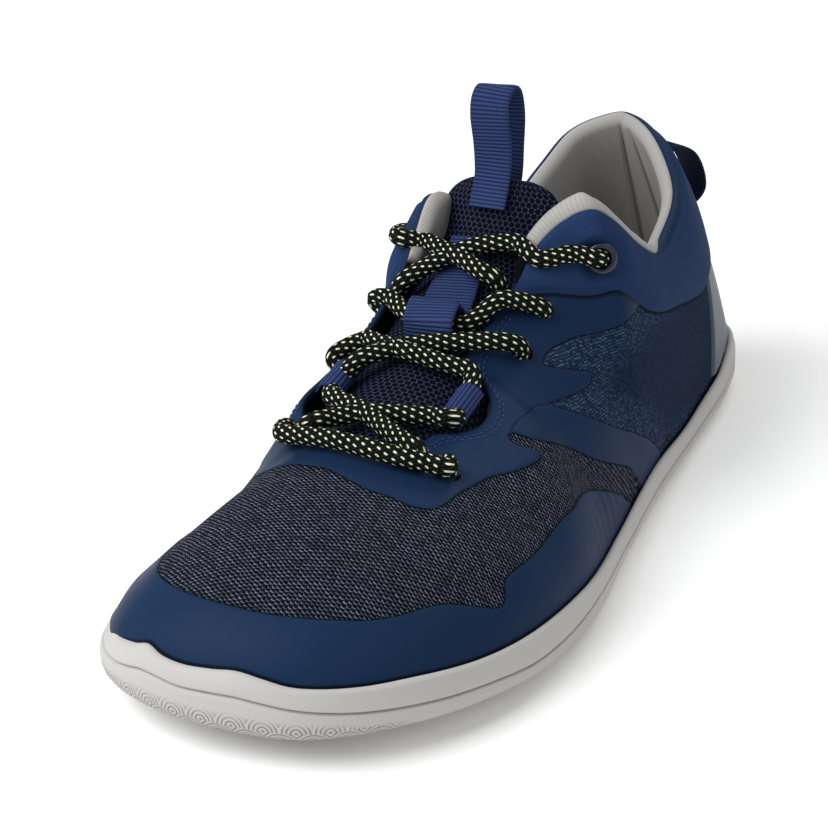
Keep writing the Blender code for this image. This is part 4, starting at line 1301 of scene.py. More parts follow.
@dataclass
class Upper:
    """The upper: outer skin, padded collar, lining, heel shell and stitches."""

    shop: Workshop
    columns: int = 720
    rows: int = 104
    girth: float = 0.68
    rim_share: float = 0.955
    film: float = 0.00028
    tuck: float = 0.0030
    pleat: float = 0.00010
    seam_roll: float = 0.0013
    belly: float = 0.0009
    ripple: float = 0.00012
    ear_swell: float = 0.0034
    dimple: Pair = (0.0040, 0.0085)
    piping: float = 0.0021
    rim_start: float = 0.42
    roll_share: float = 0.16
    lining_height: float = 0.075
    lining_swell: float = 0.0012
    lining_folds: Pair = (-0.25, 0.30)
    shell_proud: float = 0.0010
    shell_edge: float = 0.0014
    shell_width: float = 0.125
    shell_chart: Pair = (0.12, 0.05)
    stitch_pitch: float = 0.0021
    stitch_length: float = 0.0015
    stitch_height: float = 0.0004
    stitch_rows: Pair = (0.0022, 0.0036)
    thread: float = 0.00042

    def rim(self, station: float, turn: float) -> Vector:
        """Return a point on the rounded top edge: turn 0 is its outer and 1 its inner side."""
        wall = LAST.wall_at(station, 1.0)
        normal = LAST.upper_normal(station, 0.995)
        rib = LAST.rib(station)
        up = (rib.point(1.0) - rib.point(0.97)).normalized()
        angle = turn * math.pi
        centre = rib.point(1.0) - normal * wall / 2
        return centre + (normal * math.cos(angle) + up * math.sin(angle)) * wall / 2

    def flat_chart(self, stations: Sequence[float]) -> Callable[[int, float], Pair]:
        """Return a chart that unrolls each rib outwards from the throat in plan."""
        samples = 24
        below_foot = 0.05

        @lru_cache(maxsize=None)
        def column(index: int) -> tuple[Vector, Vector, list[float]]:
            """Return a rib's top in plan, its way out and its lengths."""
            rib = LAST.rib(stations[index])
            lengths = run_lengths([rib.point(i / samples) for i in range(samples + 1)])
            plan = Vector((rib.foot.x - rib.edge.x, rib.foot.y - rib.edge.y))
            return rib.edge.xy, plan.normalized(), lengths

        def chart(index: int, share: float) -> Pair:
            """Return the chart's place for a column and a share up the rib."""
            start, away, lengths = column(index)
            spot = clamp(share) * samples
            low = min(int(spot), samples - 1)
            height = lengths[low] + (lengths[low + 1] - lengths[low]) * (spot - low)
            plan = start + away * (lengths[-1] - height + max(-share, 0.0) * below_foot)
            return plan.x, plan.y

        return chart

    def skin_lift(self, cloth: float, strap: float) -> float:
        """Return how far the skin stands out, by its distances inside the cloth and the strap."""
        lift = 1 - smooth_step(-0.35, 0.25, cloth) + 0.6 * smooth_step(-0.15, 0.45, strap)
        return self.film * (lift - 0.4 * smooth_step(0.0, 2.0, cloth))

    def build_skin(self) -> None:
        """Build the outer skin, its film standing proud of the mesh and knit."""
        stations = LAST.even_stations(self.columns + 1)
        flat = self.flat_chart(stations)
        top = self.rim_share

        def place(across: float, along: float) -> Vector:
            """Return the skin's point, lowered with the sole's lip and rolled over the edge."""
            station = stations[round(across * self.columns)]
            if along > top:
                return self.rim(station, 0.5 * (along - top) / (1 - top))
            share = along / top
            drop = min(wave("lip", station), 0.0) * MM
            if along == 0:
                height = LAST.lip_height(station) + drop - self.tuck
                return LAST.ring_point(station, LAST.feather_inset, height)
            point = LAST.rib(station).point(share)
            point.z += drop * (1 - smooth_step(0.0, 0.16, share)) ** 1.5
            return point

        def chart(across: float, along: float) -> Pair:
            """Return the skin's flat place."""
            return flat(round(across * self.columns), min(along / top, 1.0))

        bm = Patch(self.columns, self.rows, flipped=True).spread(place, chart)
        places = np.array([
            (stations[round(across * self.columns)], min(along / top, 1.0))
            for across, along in patch_shares(bm)
        ])
        points = np.array([tuple(v.co) for v in bm.verts])
        fields = {
            region.name: region.distances(places[:, 0], places[:, 1], points)
            for region in (MESH, KNIT, STRAP, PADDED)
        }
        # Height above the sole's lip in millimetres; the skin's finish paints shade just above the
        # lip from it.
        fields["feather"] = [
            (point[2] - LAST.rib(station).foot.z) / MM - wave("lip", station)
            for point, (station, _) in zip(points, places)
        ]
        fields["around"] = np.interp(
            places[:, 0], stations, np.linspace(0, self.girth, len(stations))
        )
        cloth = np.maximum(fields["mesh"], fields["knit"])
        lifts = iter([
            self.skin_lift(inside, strap) + self.creases(*spot)
            for inside, strap, spot in zip(cloth, fields["strap"], places)
        ])
        press(bm, lambda across, along: next(lifts) * (1 - smooth_step(0.985, 1.0, along)))
        self.shop.piece("upper_skin", bm, "skin", Slot.UPPER, ("upper",), fields)

    def creases(self, station: float, share: float) -> float:
        """Return the soft pleats of the film over the lateral ball, in metres."""
        zone = hump(5.15, 0.75, station) * hump(0.10, 0.16, share)
        return self.pleat * zone * math.sin(station * 46.0)

    def build_collar(self) -> None:
        """Build the padded collar panel over the skin."""
        columns, rows = 420, 40
        start, end = COLLAR_SEAM.rows[0][0], COLLAR_SEAM.rows[-1][0]
        stations = LAST.even_stations(columns + 1, start, end)
        seams = [COLLAR_SEAM.along("station", "share", s) for s in stations]
        tops = [1 - 0.7 * self.piping_drop(s) * max(-self.lining_start(s), 0.0) for s in stations]
        widths = [
            (LAST.upper(s, 1.0) - LAST.upper(s, seam)).length for s, seam in zip(stations, seams)
        ]
        around = run_lengths([LAST.upper(s, (1 + seam) / 2) for s, seam in zip(stations, seams)])
        eyelets = [LAST.upper(*eyelet) for eyelet in EYELETS]

        def place(across: float, along: float) -> Vector:
            """Return the panel's point on the rib, from its seam up to the piping."""
            column = round(across * columns)
            seam, top = seams[column], tops[column]
            return LAST.rib(stations[column]).point(seam + (top - seam) * along)

        def chart(across: float, along: float) -> Pair:
            """Return the panel's flat place."""
            column = round(across * columns)
            return around[column], along * widths[column]

        def swell(across: float, along: float) -> float:
            """Return the padding's height: rolled seam, belly, ripples, ear and dimples."""
            column = round(across * columns)
            station, seam, width = stations[column], seams[column], widths[column]
            ends = smooth_step(0.0, 0.02, across) * smooth_step(0.0, 0.02, 1 - across)
            roll = smooth_step(-0.0002, 0.0032, along * width) * self.seam_roll
            crown = math.sin(math.pi * min(along, 1.0))
            belly = self.belly * crown * smooth_step(0.004, 0.02, width)
            ripple = self.ripple * math.sin(around[column] * 210) * hump(0.25, 0.25, along)
            ear = self.ear_swell * hump(-3.75, 0.55, station) * crown
            top = 1 - smooth_step(0.92, 1.0, along) * 0.9
            point = LAST.upper(station, seam + (1 - seam) * along)
            flat = min(smooth_step(*self.dimple, (point - spot).length) for spot in eyelets)
            return 0.0002 + (roll + belly + ripple + ear) * ends * top * flat

        bm = Patch(columns, rows, flipped=True).spread(place, chart)
        press(bm, swell)
        self.shop.piece("collar_padding", bm, "padding", Slot.UPPER)

    def lining_start(self, station: float) -> float:
        """Return where the lining begins: over 0 on the rim, -1 right down the piping."""
        signed = from_heel(station)
        ear = smooth_step(3.0, 3.9, signed) * (1 - smooth_step(4.4, 4.7, signed))
        return self.rim_start - (1 + self.rim_start) * ear

    def piping_drop(self, station: float) -> float:
        """Return how far down the outer face the ear's piping rolls, as a share of the rib."""
        size = (LAST.upper(station, 1.0) - LAST.upper(station, 0.9)).length / 0.1
        return self.piping / size

    def lining_folds_at(self, station: float, width: float) -> float:
        """Return how deep in one of the heel's two folds a station is, from 0 to 1."""
        return sum(hump(fold, width, from_heel(station)) for fold in self.lining_folds)

    def build_lining(self) -> None:
        """Build the lining, rolled over the top edge and down inside to the insole."""
        columns, rows = 600, 70
        stations = LAST.even_stations(columns + 1)
        around = run_lengths([LAST.upper(station, 0.6) for station in stations])
        over = self.roll_share

        def place(across: float, along: float) -> Vector:
            """Return the lining's point: piping, then the rim, then the inner face."""
            station = stations[round(across * columns)]
            if along < over:
                start = self.lining_start(station)
                turn = start + (1 - start) * along / over
                if turn < 0:
                    return LAST.upper(station, 1 + turn * self.piping_drop(station))
                return self.rim(station, turn)
            share = 1 - (along - over) / (1 - over)
            return LAST.upper(station, max(share, 0.004), -LAST.wall_at(station, share))

        def chart(across: float, along: float) -> Pair:
            """Return the lining's flat place."""
            return around[round(across * columns)], along * self.lining_height

        def swell(across: float, along: float) -> float:
            """Return the lining's height: rolled piping, soft padding and the heel's folds."""
            station = stations[round(across * columns)]
            collar = LAST.collar_share(station)
            roll = 0.0003 + 0.0005 * collar
            roll *= smooth_step(-0.1, 0.2, along / over) * 1.3 - 0.3
            padded = collar * hump(0.35, 0.30, along)
            padded *= smooth_step(0.9, 1.6, abs(from_heel(station)))
            fold = self.lining_folds_at(station, 0.16) * smooth_step(0.10, 0.22, along) * collar
            return roll + self.lining_swell * (padded - fold / 2)

        bm = Patch(columns, rows, flipped=True).spread(place, chart)
        fields = {"collar": [], "groove": []}
        for across, along in patch_shares(bm):
            station = stations[round(across * columns)]
            fields["collar"].append(LAST.collar_share(station))
            fold = self.lining_folds_at(station, 0.13) * smooth_step(0.10, 0.25, along)
            fields["groove"].append(fold)
        press(bm, swell)
        self.shop.piece("collar_lining", bm, "lining", Slot.UPPER, fields=fields)

    def build_counter(self) -> None:
        """Build the moulded heel counter with rounded edges."""
        columns, rows = 150, 44
        reach, foot, rake, under_collar = 2.35, 0.02, 0.40, 0.012

        def place(across: float, along: float) -> Vector:
            """Return the shell's point on the rib, from the lip to just under the collar."""
            station = (2 * across - 1) * (reach - rake * along)
            seam = COLLAR_SEAM.along("station", "share", station)
            return LAST.upper(station, foot + (seam + under_collar - foot) * along)

        def swell(across: float, along: float) -> float:
            """Return the shell's height, rounded down at its front edges."""
            edge = min(across, 1 - across) * self.shell_width
            return self.shell_proud * edge_round(edge, self.shell_edge) - 0.0002

        bm = Patch(columns, rows, flipped=True).spread(
            place, lambda u, v: (u * self.shell_chart[0], v * self.shell_chart[1])
        )
        press(bm, swell)
        self.shop.piece("heel_shell", bm, "shell", Slot.SHELL, ("heel_counter",))

    def build_stitches(self) -> None:
        """Sew the double row round the throat."""
        size = Matrix.Diagonal((self.thread, self.stitch_length, self.thread, 1.0))
        for row, inset in enumerate(self.stitch_rows):
            controls = []
            for station in (quarter / 4 for quarter in range(19, 65)):
                rib = (LAST.upper(station, 1.0) - LAST.upper(station, 0.8)).length / 0.2
                controls.append(LAST.upper(station, 1 - inset / rib, self.stitch_height))
            route = Route(controls, steps=6)
            bm = bmesh.new()
            for index in range(int(route.length / self.stitch_pitch)):
                stop = route.at((index + 0.5) * self.stitch_pitch / route.length)
                made = bmesh.ops.create_icosphere(bm, subdivisions=1, radius=0.5)
                turn = Matrix((stop.across, stop.run, stop.up)).transposed().to_4x4()
                matrix = Matrix.Translation(stop.point) @ turn @ size
                bmesh.ops.transform(bm, matrix=matrix, verts=made["verts"])
            self.shop.piece(f"throat_stitches_{row}", bm, "thread", Slot.UPPER)

    def build(self) -> None:
        """Build all of the upper."""
        self.build_skin()
        self.build_collar()
        self.build_lining()
        self.build_counter()
        self.build_stitches()


WAVES = Table("station lip groove inset curl", (
    (0, 0, 0.5, 0, 0), (2.3, -0.2, 0.5, 0, 0), (3.1, -2.0, 0, 0, 0),
    (3.8, -0.5, 0.5, 0, 0), (4.3, -1.0, 0.4, 0, 0), (5.2, -1.8, 0.3, 0, 0),
    (5.8, -1.2, 0, 0, 0), (6.3, -0.9, -1.9, 0, 0.5), (6.9, -0.1, -2.6, 0, 1.8),
    (7.4, 0.4, -1.5, 0, 2.8), (8.0, 1.1, -0.9, 0, 2.8), (8.5, 0.6, -0.3, 0, 1.8),
    (8.9, 0.4, 0.5, 0, 0.6), (9.1, 0.6, 1.0, 0, 0.2), (9.3, 1.6, 1.8, 0, 0),
    (9.5, 2.4, 2.4, 0, 0), (9.7, 1.8, 2.2, 0, 0), (9.95, 1.3, 1.9, 0, 0),
    (10.2, 1.7, 2.7, 0, 0), (10.4, 2.7, 2.8, 0, 0), (10.6, 1.4, 1.6, 0.5, 0),
    (10.85, 0.4, 0.4, 1.2, 0), (11.1, -0.2, 0, 2.2, 0), (11.4, -1.0, 0, 3.0, 0),
    (11.8, -2.4, -0.4, 3.0, 0), (12.3, -3.2, -0.8, 2.4, 0), (13.5, -2.8, -1.0, 1.2, 0),
    (14.5, -1.5, -0.5, 0.5, 0), (15.5, 0, 0, 0, 0), (20.0, 0, 0.5, 0, 0),
))


def wave(name: str, station: float) -> float:
    """Return how far a line of the sole's wall strays at a station, in millimetres."""
    return WAVES.along("station", name, station)


GROOVE_PROFILE = ((0.0, 0.0), (0.2, 0.25), (0.35, 1.0), (0.65, 1.0), (0.8, 0.3), (1.0, 0.05))
TREAD_CENTRES = ((0.012, -0.062), (-0.028, -0.108), (0.004, 0.098), (0.030, -0.02))
FLEX_PLACES = (0.36, 0.50, 0.62, 0.73, 0.83)


@dataclass
class Sole:
    """The cup sole with its lip, groove and tread, and the insole on it."""

    shop: Workshop
    columns: int = 720
    cross: int = 90
    side_rounding: float = 0.0060
    lip_rounding: float = 0.0012
    lip_depth: float = 0.0030
    lug_depth: float = 0.0012
    tread_pitch: float = 0.0062
    groove_depth: float = 0.0012
    groove_width: float = 0.0011
    groove_drop: float = 0.0062
    insole_thickness: float = 0.0030
    insole_rounding: float = 0.0012
    insole_gap: float = 0.0008
    insole_chart: Pair = (0.09, 0.27)

    def side_rows(self, lip: float, groove: float) -> list[Pair]:
        """Return the upright side's inset and height, from the tread's edge over the lip inside.

        Args:
            lip: The lip's height.
            groove: The groove's height.

        Returns:
            The rows, from the bottom up and over.
        """
        size, foot = self.side_rounding, self.lug_depth
        tall = min(size, groove - 0.0004) - foot
        rows = [(size, foot)]
        for step in range(1, 9):
            turn = step / 8 * math.pi / 2
            rows.append((size * (1 - math.sin(turn)) ** 1.15, foot + tall * (1 - math.cos(turn))))
        rows += [(0.0, rows[8][1] + (groove - rows[8][1]) * share) for share in (0.4, 0.8)]
        rows += [
            (self.groove_depth * depth, groove + self.groove_width * share)
            for share, depth in GROOVE_PROFILE
        ]
        start, brow = groove + self.groove_width, lip - self.lip_rounding
        for share in (0.15, 0.4, 0.65, 0.85):
            rows.append((LAST.lip_inset * 0.8 * share**2, start + (brow - start) * share))
        outer, inner = LAST.lip_inset * 0.75, LAST.lip_inset + LAST.lip_thickness
        for step in range(9):
            turn = step / 8 * math.pi
            inset = outer + (inner - outer) * (1 - math.cos(turn)) / 2
            rows.append((inset, brow + self.lip_rounding * math.sin(turn)))
        return rows + [(inner, lip - self.lip_depth), (inner, LAST.stack)]

    def profile(self, station: float) -> list[Pair]:
        """Return the side's inset and height at a station, leaning with the upper's rib."""
        base = LAST.lip_height(station)
        lip, groove, inset, curl = (
            wave(name, station) * MM for name in ("lip", "groove", "inset", "curl")
        )
        lip += base
        groove += base - self.groove_drop
        rib = LAST.rib(station)
        points = [rib.point(step / 40) - rib.foot for step in range(12)]
        outward = LAST.outward(station)
        leans = [point.xy @ outward for point in points]
        rises = [point.z for point in points]
        return [
            (
                row + inset * smooth_step(groove - 0.002, lip, height)
                - float(np.interp(height - base, rises, leans)),
                height + curl * (1 - smooth_step(0.0, lip, height)),
            )
            for row, height in self.side_rows(lip, groove)
        ]

    def tread(self, x: float, y: float) -> float:
        """Return how deep the tread is cut at a place: 0 on a block, 1 in a groove."""
        far = min(math.hypot(x - cx, (y - cy) * 0.9) for cx, cy in TREAD_CENTRES)
        rings = smooth_step(0.45, 0.75, 0.5 + 0.5 * math.cos(far / self.tread_pitch * math.tau))
        share = LAST.along_share(y)
        flex = sum(hump(place, 0.006, share) for place in FLEX_PLACES)
        return max(rings, min(flex, 1.0))

    def build_sole(self) -> None:
        """Build the sole's side and its tread as one closed shell."""
        stations = LAST.even_stations(self.columns + 1)
        profiles = [self.profile(station) for station in stations]
        rows = len(profiles[0]) - 1
        half = self.columns // 2
        around = run_lengths([LAST.outline(station) for station in stations])
        heights = [run_lengths([Vector(row) for row in profile]) for profile in profiles]

        def edge(column: int, row: int = 0) -> Vector:
            """Return the side's point in a column, at first on the tread's edge."""
            return LAST.ring_point(stations[column], *profiles[column][row])

        def chart(across: float, along: float) -> Pair:
            """Return the side's flat place."""
            column = round(across * self.columns)
            return around[column], heights[column][round(along * rows)]

        def under(across: float, along: float) -> Vector:
            """Return the tread's point between the two sides, cut by its lugs."""
            columns = round(along * half), self.columns - round(along * half)
            left, right = (edge(column) for column in columns)
            point = left.lerp(right, across)
            inner = min(across, 1 - across) * (left - right).length
            border = smooth_step(0.0004, 0.0016, inner)
            border *= smooth_step(0.0, 0.004, min(along, 1 - along) * LAST.length)
            curls = [profiles[column][0][1] - self.lug_depth for column in columns]
            base = LAST.ground_rise(point.x, point.y)
            base += curls[0] * max(1 - 3 * across, 0) ** 2 + curls[1] * max(3 * across - 2, 0) ** 2
            cut = (self.tread(point.x, point.y) - 1) * border
            return Vector((point.x, point.y, base + self.lug_depth * (1 + cut)))

        side = Patch(self.columns, rows, flipped=True).spread(
            lambda u, v: edge(round(u * self.columns), round(v * rows)), chart
        )
        join(side, Patch(self.cross, half).spread(under, lambda u, v: under(u, v).xy))
        bmesh.ops.remove_doubles(side, verts=side.verts, dist=0.00002)
        close_shell(side)
        tread = []
        for vert in side.verts:
            low = 1 - smooth_step(0.0066, 0.0074, vert.co.z - LAST.ground_rise(*vert.co.xy))
            tread.append(low * smooth_step(0.90, 0.94, LAST.along_share(vert.co.y)))
        self.shop.piece("cup_sole", side, "rubber", Slot.RUBBER, ("sole",), {"tread": tread})

    def build_insole(self) -> None:
        """Build the insole with a softly cupped, rounded edge."""
        columns, cross = 360, 60
        inset = LAST.feather_inset + LAST.wall + self.insole_gap
        stations = LAST.even_stations(columns + 1)
        half = columns // 2
        low = LAST.stack + LAST.gap

        def top(across: float, along: float) -> Vector:
            """Return the upper face's point, rounded down at the edge."""
            index = round(along * half)
            left, right = (
                LAST.ring_point(stations[column], inset, 0) for column in (index, columns - index)
            )
            point = left.lerp(right, across)
            inner = min(across, 1 - across) * (left - right).length
            drop = self.insole_rounding * (1 - edge_round(inner, self.insole_rounding))
            rise = LAST.ground_rise(point.x, point.y) + low + self.insole_thickness
            return Vector((point.x, point.y, rise - drop))

        wide, long = self.insole_chart
        bm = Patch(cross, half).spread(top, lambda u, v: (u * wide, v * long))
        edges = [edge for edge in bm.edges if edge.is_boundary]
        made = bmesh.ops.extrude_edge_only(bm, edges=edges)["geom"]
        for vert in made:
            if isinstance(vert, bmesh.types.BMVert):
                vert.co.z = LAST.ground_rise(vert.co.x, vert.co.y) + low
        bmesh.ops.recalc_face_normals(bm, faces=bm.faces)
        if sum(face.normal.z * face.calc_area() for face in bm.faces) < 0:
            bmesh.ops.reverse_faces(bm, faces=bm.faces)
        self.shop.piece("insole_board", bm, "foam", Slot.FOAM, ("insole",))

    def build(self) -> None:
        """Build the sole and the insole."""
        self.build_sole()
        self.build_insole()


STRAP_ROWS = Table("place height across width", (
    (3.29, 0.00, 0.13, 1.00), (3.32, 0.55, 0.13, 1.00), (3.37, 1.15, 0.13, 1.00),
    (3.45, 1.36, 0.13, 1.00), (3.72, 1.36, 0.13, 1.00), (3.80, 0.90, 0.13, 1.00),
    (3.87, 0.02, 0.13, 0.99), (4.20, 0.00, 0.06, 0.93), (4.60, 0.00, -0.10, 0.83),
    (4.90, 0.00, -0.24, 0.77), (5.15, 0.00, -0.32, 0.75),
))

PULL_LOOP = (
    (0.41, -0.50), (0.25, -0.22), (0.13, 0.10), (0.10, 0.60), (0.20, 1.22), (0.12, 1.56),
    (-0.12, 1.70), (-0.36, 1.54), (-0.46, 1.08), (-0.40, 0.50), (-0.37, 0.05), (-0.28, -0.20),
    (-0.13, -0.52),
)

HEEL_LOOP = (
    (0.13, 0.90), (0.15, 0.86), (0.52, 0.86), (0.94, 0.81), (1.06, 0.72), (0.94, 0.63),
    (0.54, 0.58), (0.15, 0.575), (0.13, 0.545),
)

LACE_LOOP = (
    (0.52, -0.52), (0.25, -0.50), (0.00, -0.50), (-0.35, -0.35), (-0.50, 0.00), (-0.35, 0.35),
    (0.00, 0.50), (0.27, 0.45), (0.55, 0.28),
)


@dataclass
class Tongue:
    """The mesh tongue with its strap, pull loop and lace loops, and the heel's pull loop."""

    shop: Workshop
    thickness: float = 0.0030
    taper: float = 0.16
    corner_start: float = 5.65
    corner_cut: float = 0.72
    left_swell: float = 0.20
    crown: float = 0.0011
    chart_half: float = 0.022
    chart_length: float = 0.155
    webbing_width: float = 0.0150
    webbing_thickness: float = 0.0014
    loop_width: float = 0.0112
    loop_offset: float = -0.0022
    loop_twist: float = 10.0
    heel_loop_width: float = 0.0110
    heel_loop_station: float = 0.42
    lace_loop_place: float = 2.35
    lace_loop_length: float = 0.0120
    lace_loop_thickness: float = 0.0010
    lace_loop_bore: float = 0.0060
    lace_diameter: float = 0.0050

    def build_tongue(self) -> None:
        """Build the tongue as one padded slab with rolled edges."""
        last = len(TONGUE.rows) - 1

        def place(turn: float, along: float) -> Vector:
            """Return the slab's point, its top corners rounded and its left side fuller."""
            spot = last * along
            half = LAST.tongue_half(spot) * (1 - self.taper * smooth_step(5.5, 6.0, spot))
            corner = clamp((spot - self.corner_start) / (last - self.corner_start))
            half *= math.sqrt(1 - self.corner_cut * corner**3)
            sideways, upward = soft_square(turn, 0.55, 0.7)
            across = sideways * half
            if across < 0:
                fuller = self.left_swell * smooth_step(3.9, 4.8, spot)
                across *= 1 + fuller * (1 - 0.6 * corner)
            end = 1 - 0.9 * smooth_step(5.93, 6.0, spot)
            crown = self.crown * hump(0.0, 1.0, across / half) * smooth_step(0.4, 1.2, spot)
            lift = upward * self.thickness / 2 * end - self.thickness / 2
            return LAST.tongue(spot, across, lift + crown * (upward > 0) * end)

        def chart(turn: float, along: float) -> Pair:
            """Return the slab's flat place."""
            return soft_square(turn, 0.55, 0.7)[0] * self.chart_half, along * self.chart_length

        bm = Patch(96, 170).spread(place, chart)
        close_shell(bm)
        self.shop.piece("tongue_body", bm, "net", Slot.TONGUE, ("tongue",))

    def ribbon(
        self, name: str, node: str, route: Route, width: float | Callable[[float], float],
        thickness: float, finish: str = "webbing",
    ) -> None:
        """Weave a ribbed ribbon along a route.

        Args:
            name: The ribbon's name.
            node: The CAD node that it stands for.
            route: Its middle line.
            width: Its width, or a function that gives it at a share along.
            thickness: Its thickness.
            finish: Its finish.
        """
        ribs_along = route.length / WEBBING_RIB

        def section(turn: float, share: float) -> Pair:
            """Return the ribbon's outline, thicker on each rib."""
            sideways, upward = soft_square(turn, 0.3, 0.5)
            thick = thickness * (0.84 + 0.16 * abs(math.sin(share * ribs_along * math.pi)))
            wide = width(share) if callable(width) else width
            return sideways * wide / 2, upward * thick / 2

        bm = sweep(route, 28, max(int(ribs_along * 6), 24), section)
        self.shop.piece(name, bm, finish, Slot.WEBBING, (node,))

    def build_strap(self) -> None:
        """Build the strap with its keeper."""
        lift = LAST.gap + self.webbing_thickness / 2
        controls = [
            LAST.tongue(place, across * self.webbing_width, lift + height * self.lace_diameter)
            for place, height, across, _ in STRAP_ROWS.rows
        ]
        last = len(controls) - 1
        route = Route(controls, [Vector((1, 0, 0))] * len(controls))
        self.ribbon(
            "keeper_strap", "tongue_strap", route,
            lambda share: STRAP_ROWS.at("width", share * last) * self.webbing_width,
            self.webbing_thickness,
        )

    def build_pull_loop(self) -> None:
        """Build the pull loop at the tongue's top."""
        top = LAST.tongue_line(len(TONGUE.rows) - 1) + Vector((self.loop_offset, 0, 0))
        controls, sides = [], []
        for forward, up in PULL_LOOP:
            turn = smooth_step(0.1, 0.7, up) * math.radians(self.loop_twist)
            controls.append(top + Vector((0, -forward, up)) * self.webbing_width)
            sides.append(Vector((math.cos(turn), math.sin(turn), 0)))
        route = Route(controls, sides)
        self.ribbon(
            "pull_loop", "tongue_pull_loop", route, self.loop_width, self.webbing_thickness
        )

    def build_heel_loop(self) -> None:
        """Build the webbing loop behind the heel."""
        normal = LAST.upper_normal(self.heel_loop_station, 0.7)
        normal = Vector((normal.x, normal.y, 0)).normalized()
        across = Vector((normal.y, -normal.x, 0))
        controls = []
        for back, share in HEEL_LOOP:
            lift = LAST.gap * 2 + self.webbing_thickness / 2 + back * self.heel_loop_width
            controls.append(LAST.upper(self.heel_loop_station, share) + normal * lift)
        route = Route(controls, [across] * len(controls))
        self.ribbon(
            "heel_loop", "heel_pull_loop", route, self.heel_loop_width, self.webbing_thickness,
            "dark_webbing",
        )

    def build_lace_loops(self) -> None:
        """Build the two webbing loops that carry the lace beside the throat."""
        place = self.lace_loop_place
        lift = self.lace_loop_bore / 2 + self.lace_loop_thickness + 3 * LAST.gap
        for name, ball, side in (("lateral", 0.20, 1), ("medial", -0.49, -1)):
            across = ball * LAST.ball_width / 2 - LAST.tongue_line(place).x
            axis = LAST.tongue(place + 0.2, across, lift) - LAST.tongue(place - 0.2, across, lift)
            axis.normalize()
            slope = LAST.tongue(place, across + 0.001 * side) - LAST.tongue(place, across)
            away = slope.normalized()
            up = away.cross(axis).normalized()
            if up.z < 0:
                up.negate()
            centre = LAST.tongue(place, across, lift)
            controls = [centre + (away * a + up * u) * self.lace_loop_bore for a, u in LACE_LOOP]
            self.ribbon(
                f"lace_loop_webbing_{name}", f"lace_loop_{name}",
                Route(controls, [axis] * len(controls)), self.lace_loop_length,
                self.lace_loop_thickness,
            )

    def build(self) -> None:
        """Build the tongue and all of its webbing."""
        self.build_tongue()
        self.build_strap()
        self.build_pull_loop()
        self.build_heel_loop()
        self.build_lace_loops()


LACE_STRANDS = {
    "lace_bar_front": (
        ((0.79, -0.489, 1.89), (0.69, -0.362, 1.78), (0.63, -0.174, 1.76), (0.60, 0.000, 1.95),
         (0.62, 0.163, 2.37), (0.72, 0.308, 2.89), (0.79, 0.398, 3.28)),
    ),
    "lace_cross_low": (
        ((0.96, 0.217, 2.31), (1.17, 0.069, 1.73), (1.61, -0.176, 1.20), (1.83, -0.358, 1.18),
         (1.92, -0.427, 1.20)),
        ((1.92, 0.235, 1.65), (1.92, 0.145, 1.19), (1.82, 0.047, 1.06), (1.72, -0.058, 1.06),
         (1.60, -0.168, 1.17), (1.40, -0.295, 1.30), (1.12, -0.375, 1.68)),
    ),
    "lace_cross_mid": (
        ((2.87, 0.157, 1.49), (2.86, 0.042, 1.22), (2.87, -0.090, 1.06), (2.91, -0.217, 1.10),
         (3.02, -0.387, 1.28), (3.11, -0.489, 1.45)),
        ((2.65, -0.416, 1.44), (2.78, -0.351, 1.29), (2.96, -0.244, 1.09), (3.13, -0.109, 1.03),
         (3.22, 0.000, 1.32), (3.36, 0.119, 1.88), (3.50, 0.235, 2.65)),
    ),
    "lace_bar_keeper": (
        ((3.91, -0.507, 1.36), (3.76, -0.416, 0.94), (3.62, -0.308, 0.71), (3.59, -0.181, 0.63),
         (3.63, -0.036, 0.88), (3.84, 0.040, 1.51), (4.12, 0.109, 2.17)),
    ),
    "lace_cross_top": (
        ((4.21, -0.471, 1.36), (4.46, -0.376, 1.18), (4.68, -0.275, 1.11), (4.92, -0.161, 1.07),
         (5.06, -0.052, 1.06), (5.13, 0.054, 1.29)),
        ((4.93, -0.472, 1.67), (4.78, -0.337, 1.24), (4.64, -0.217, 1.18), (4.47, -0.076, 1.33),
         (4.42, 0.009, 1.57)),
    ),
}


class Over(Enum):
    """What a place on the lace is measured from."""

    TONGUE = "tongue"
    UPPER = "upper"


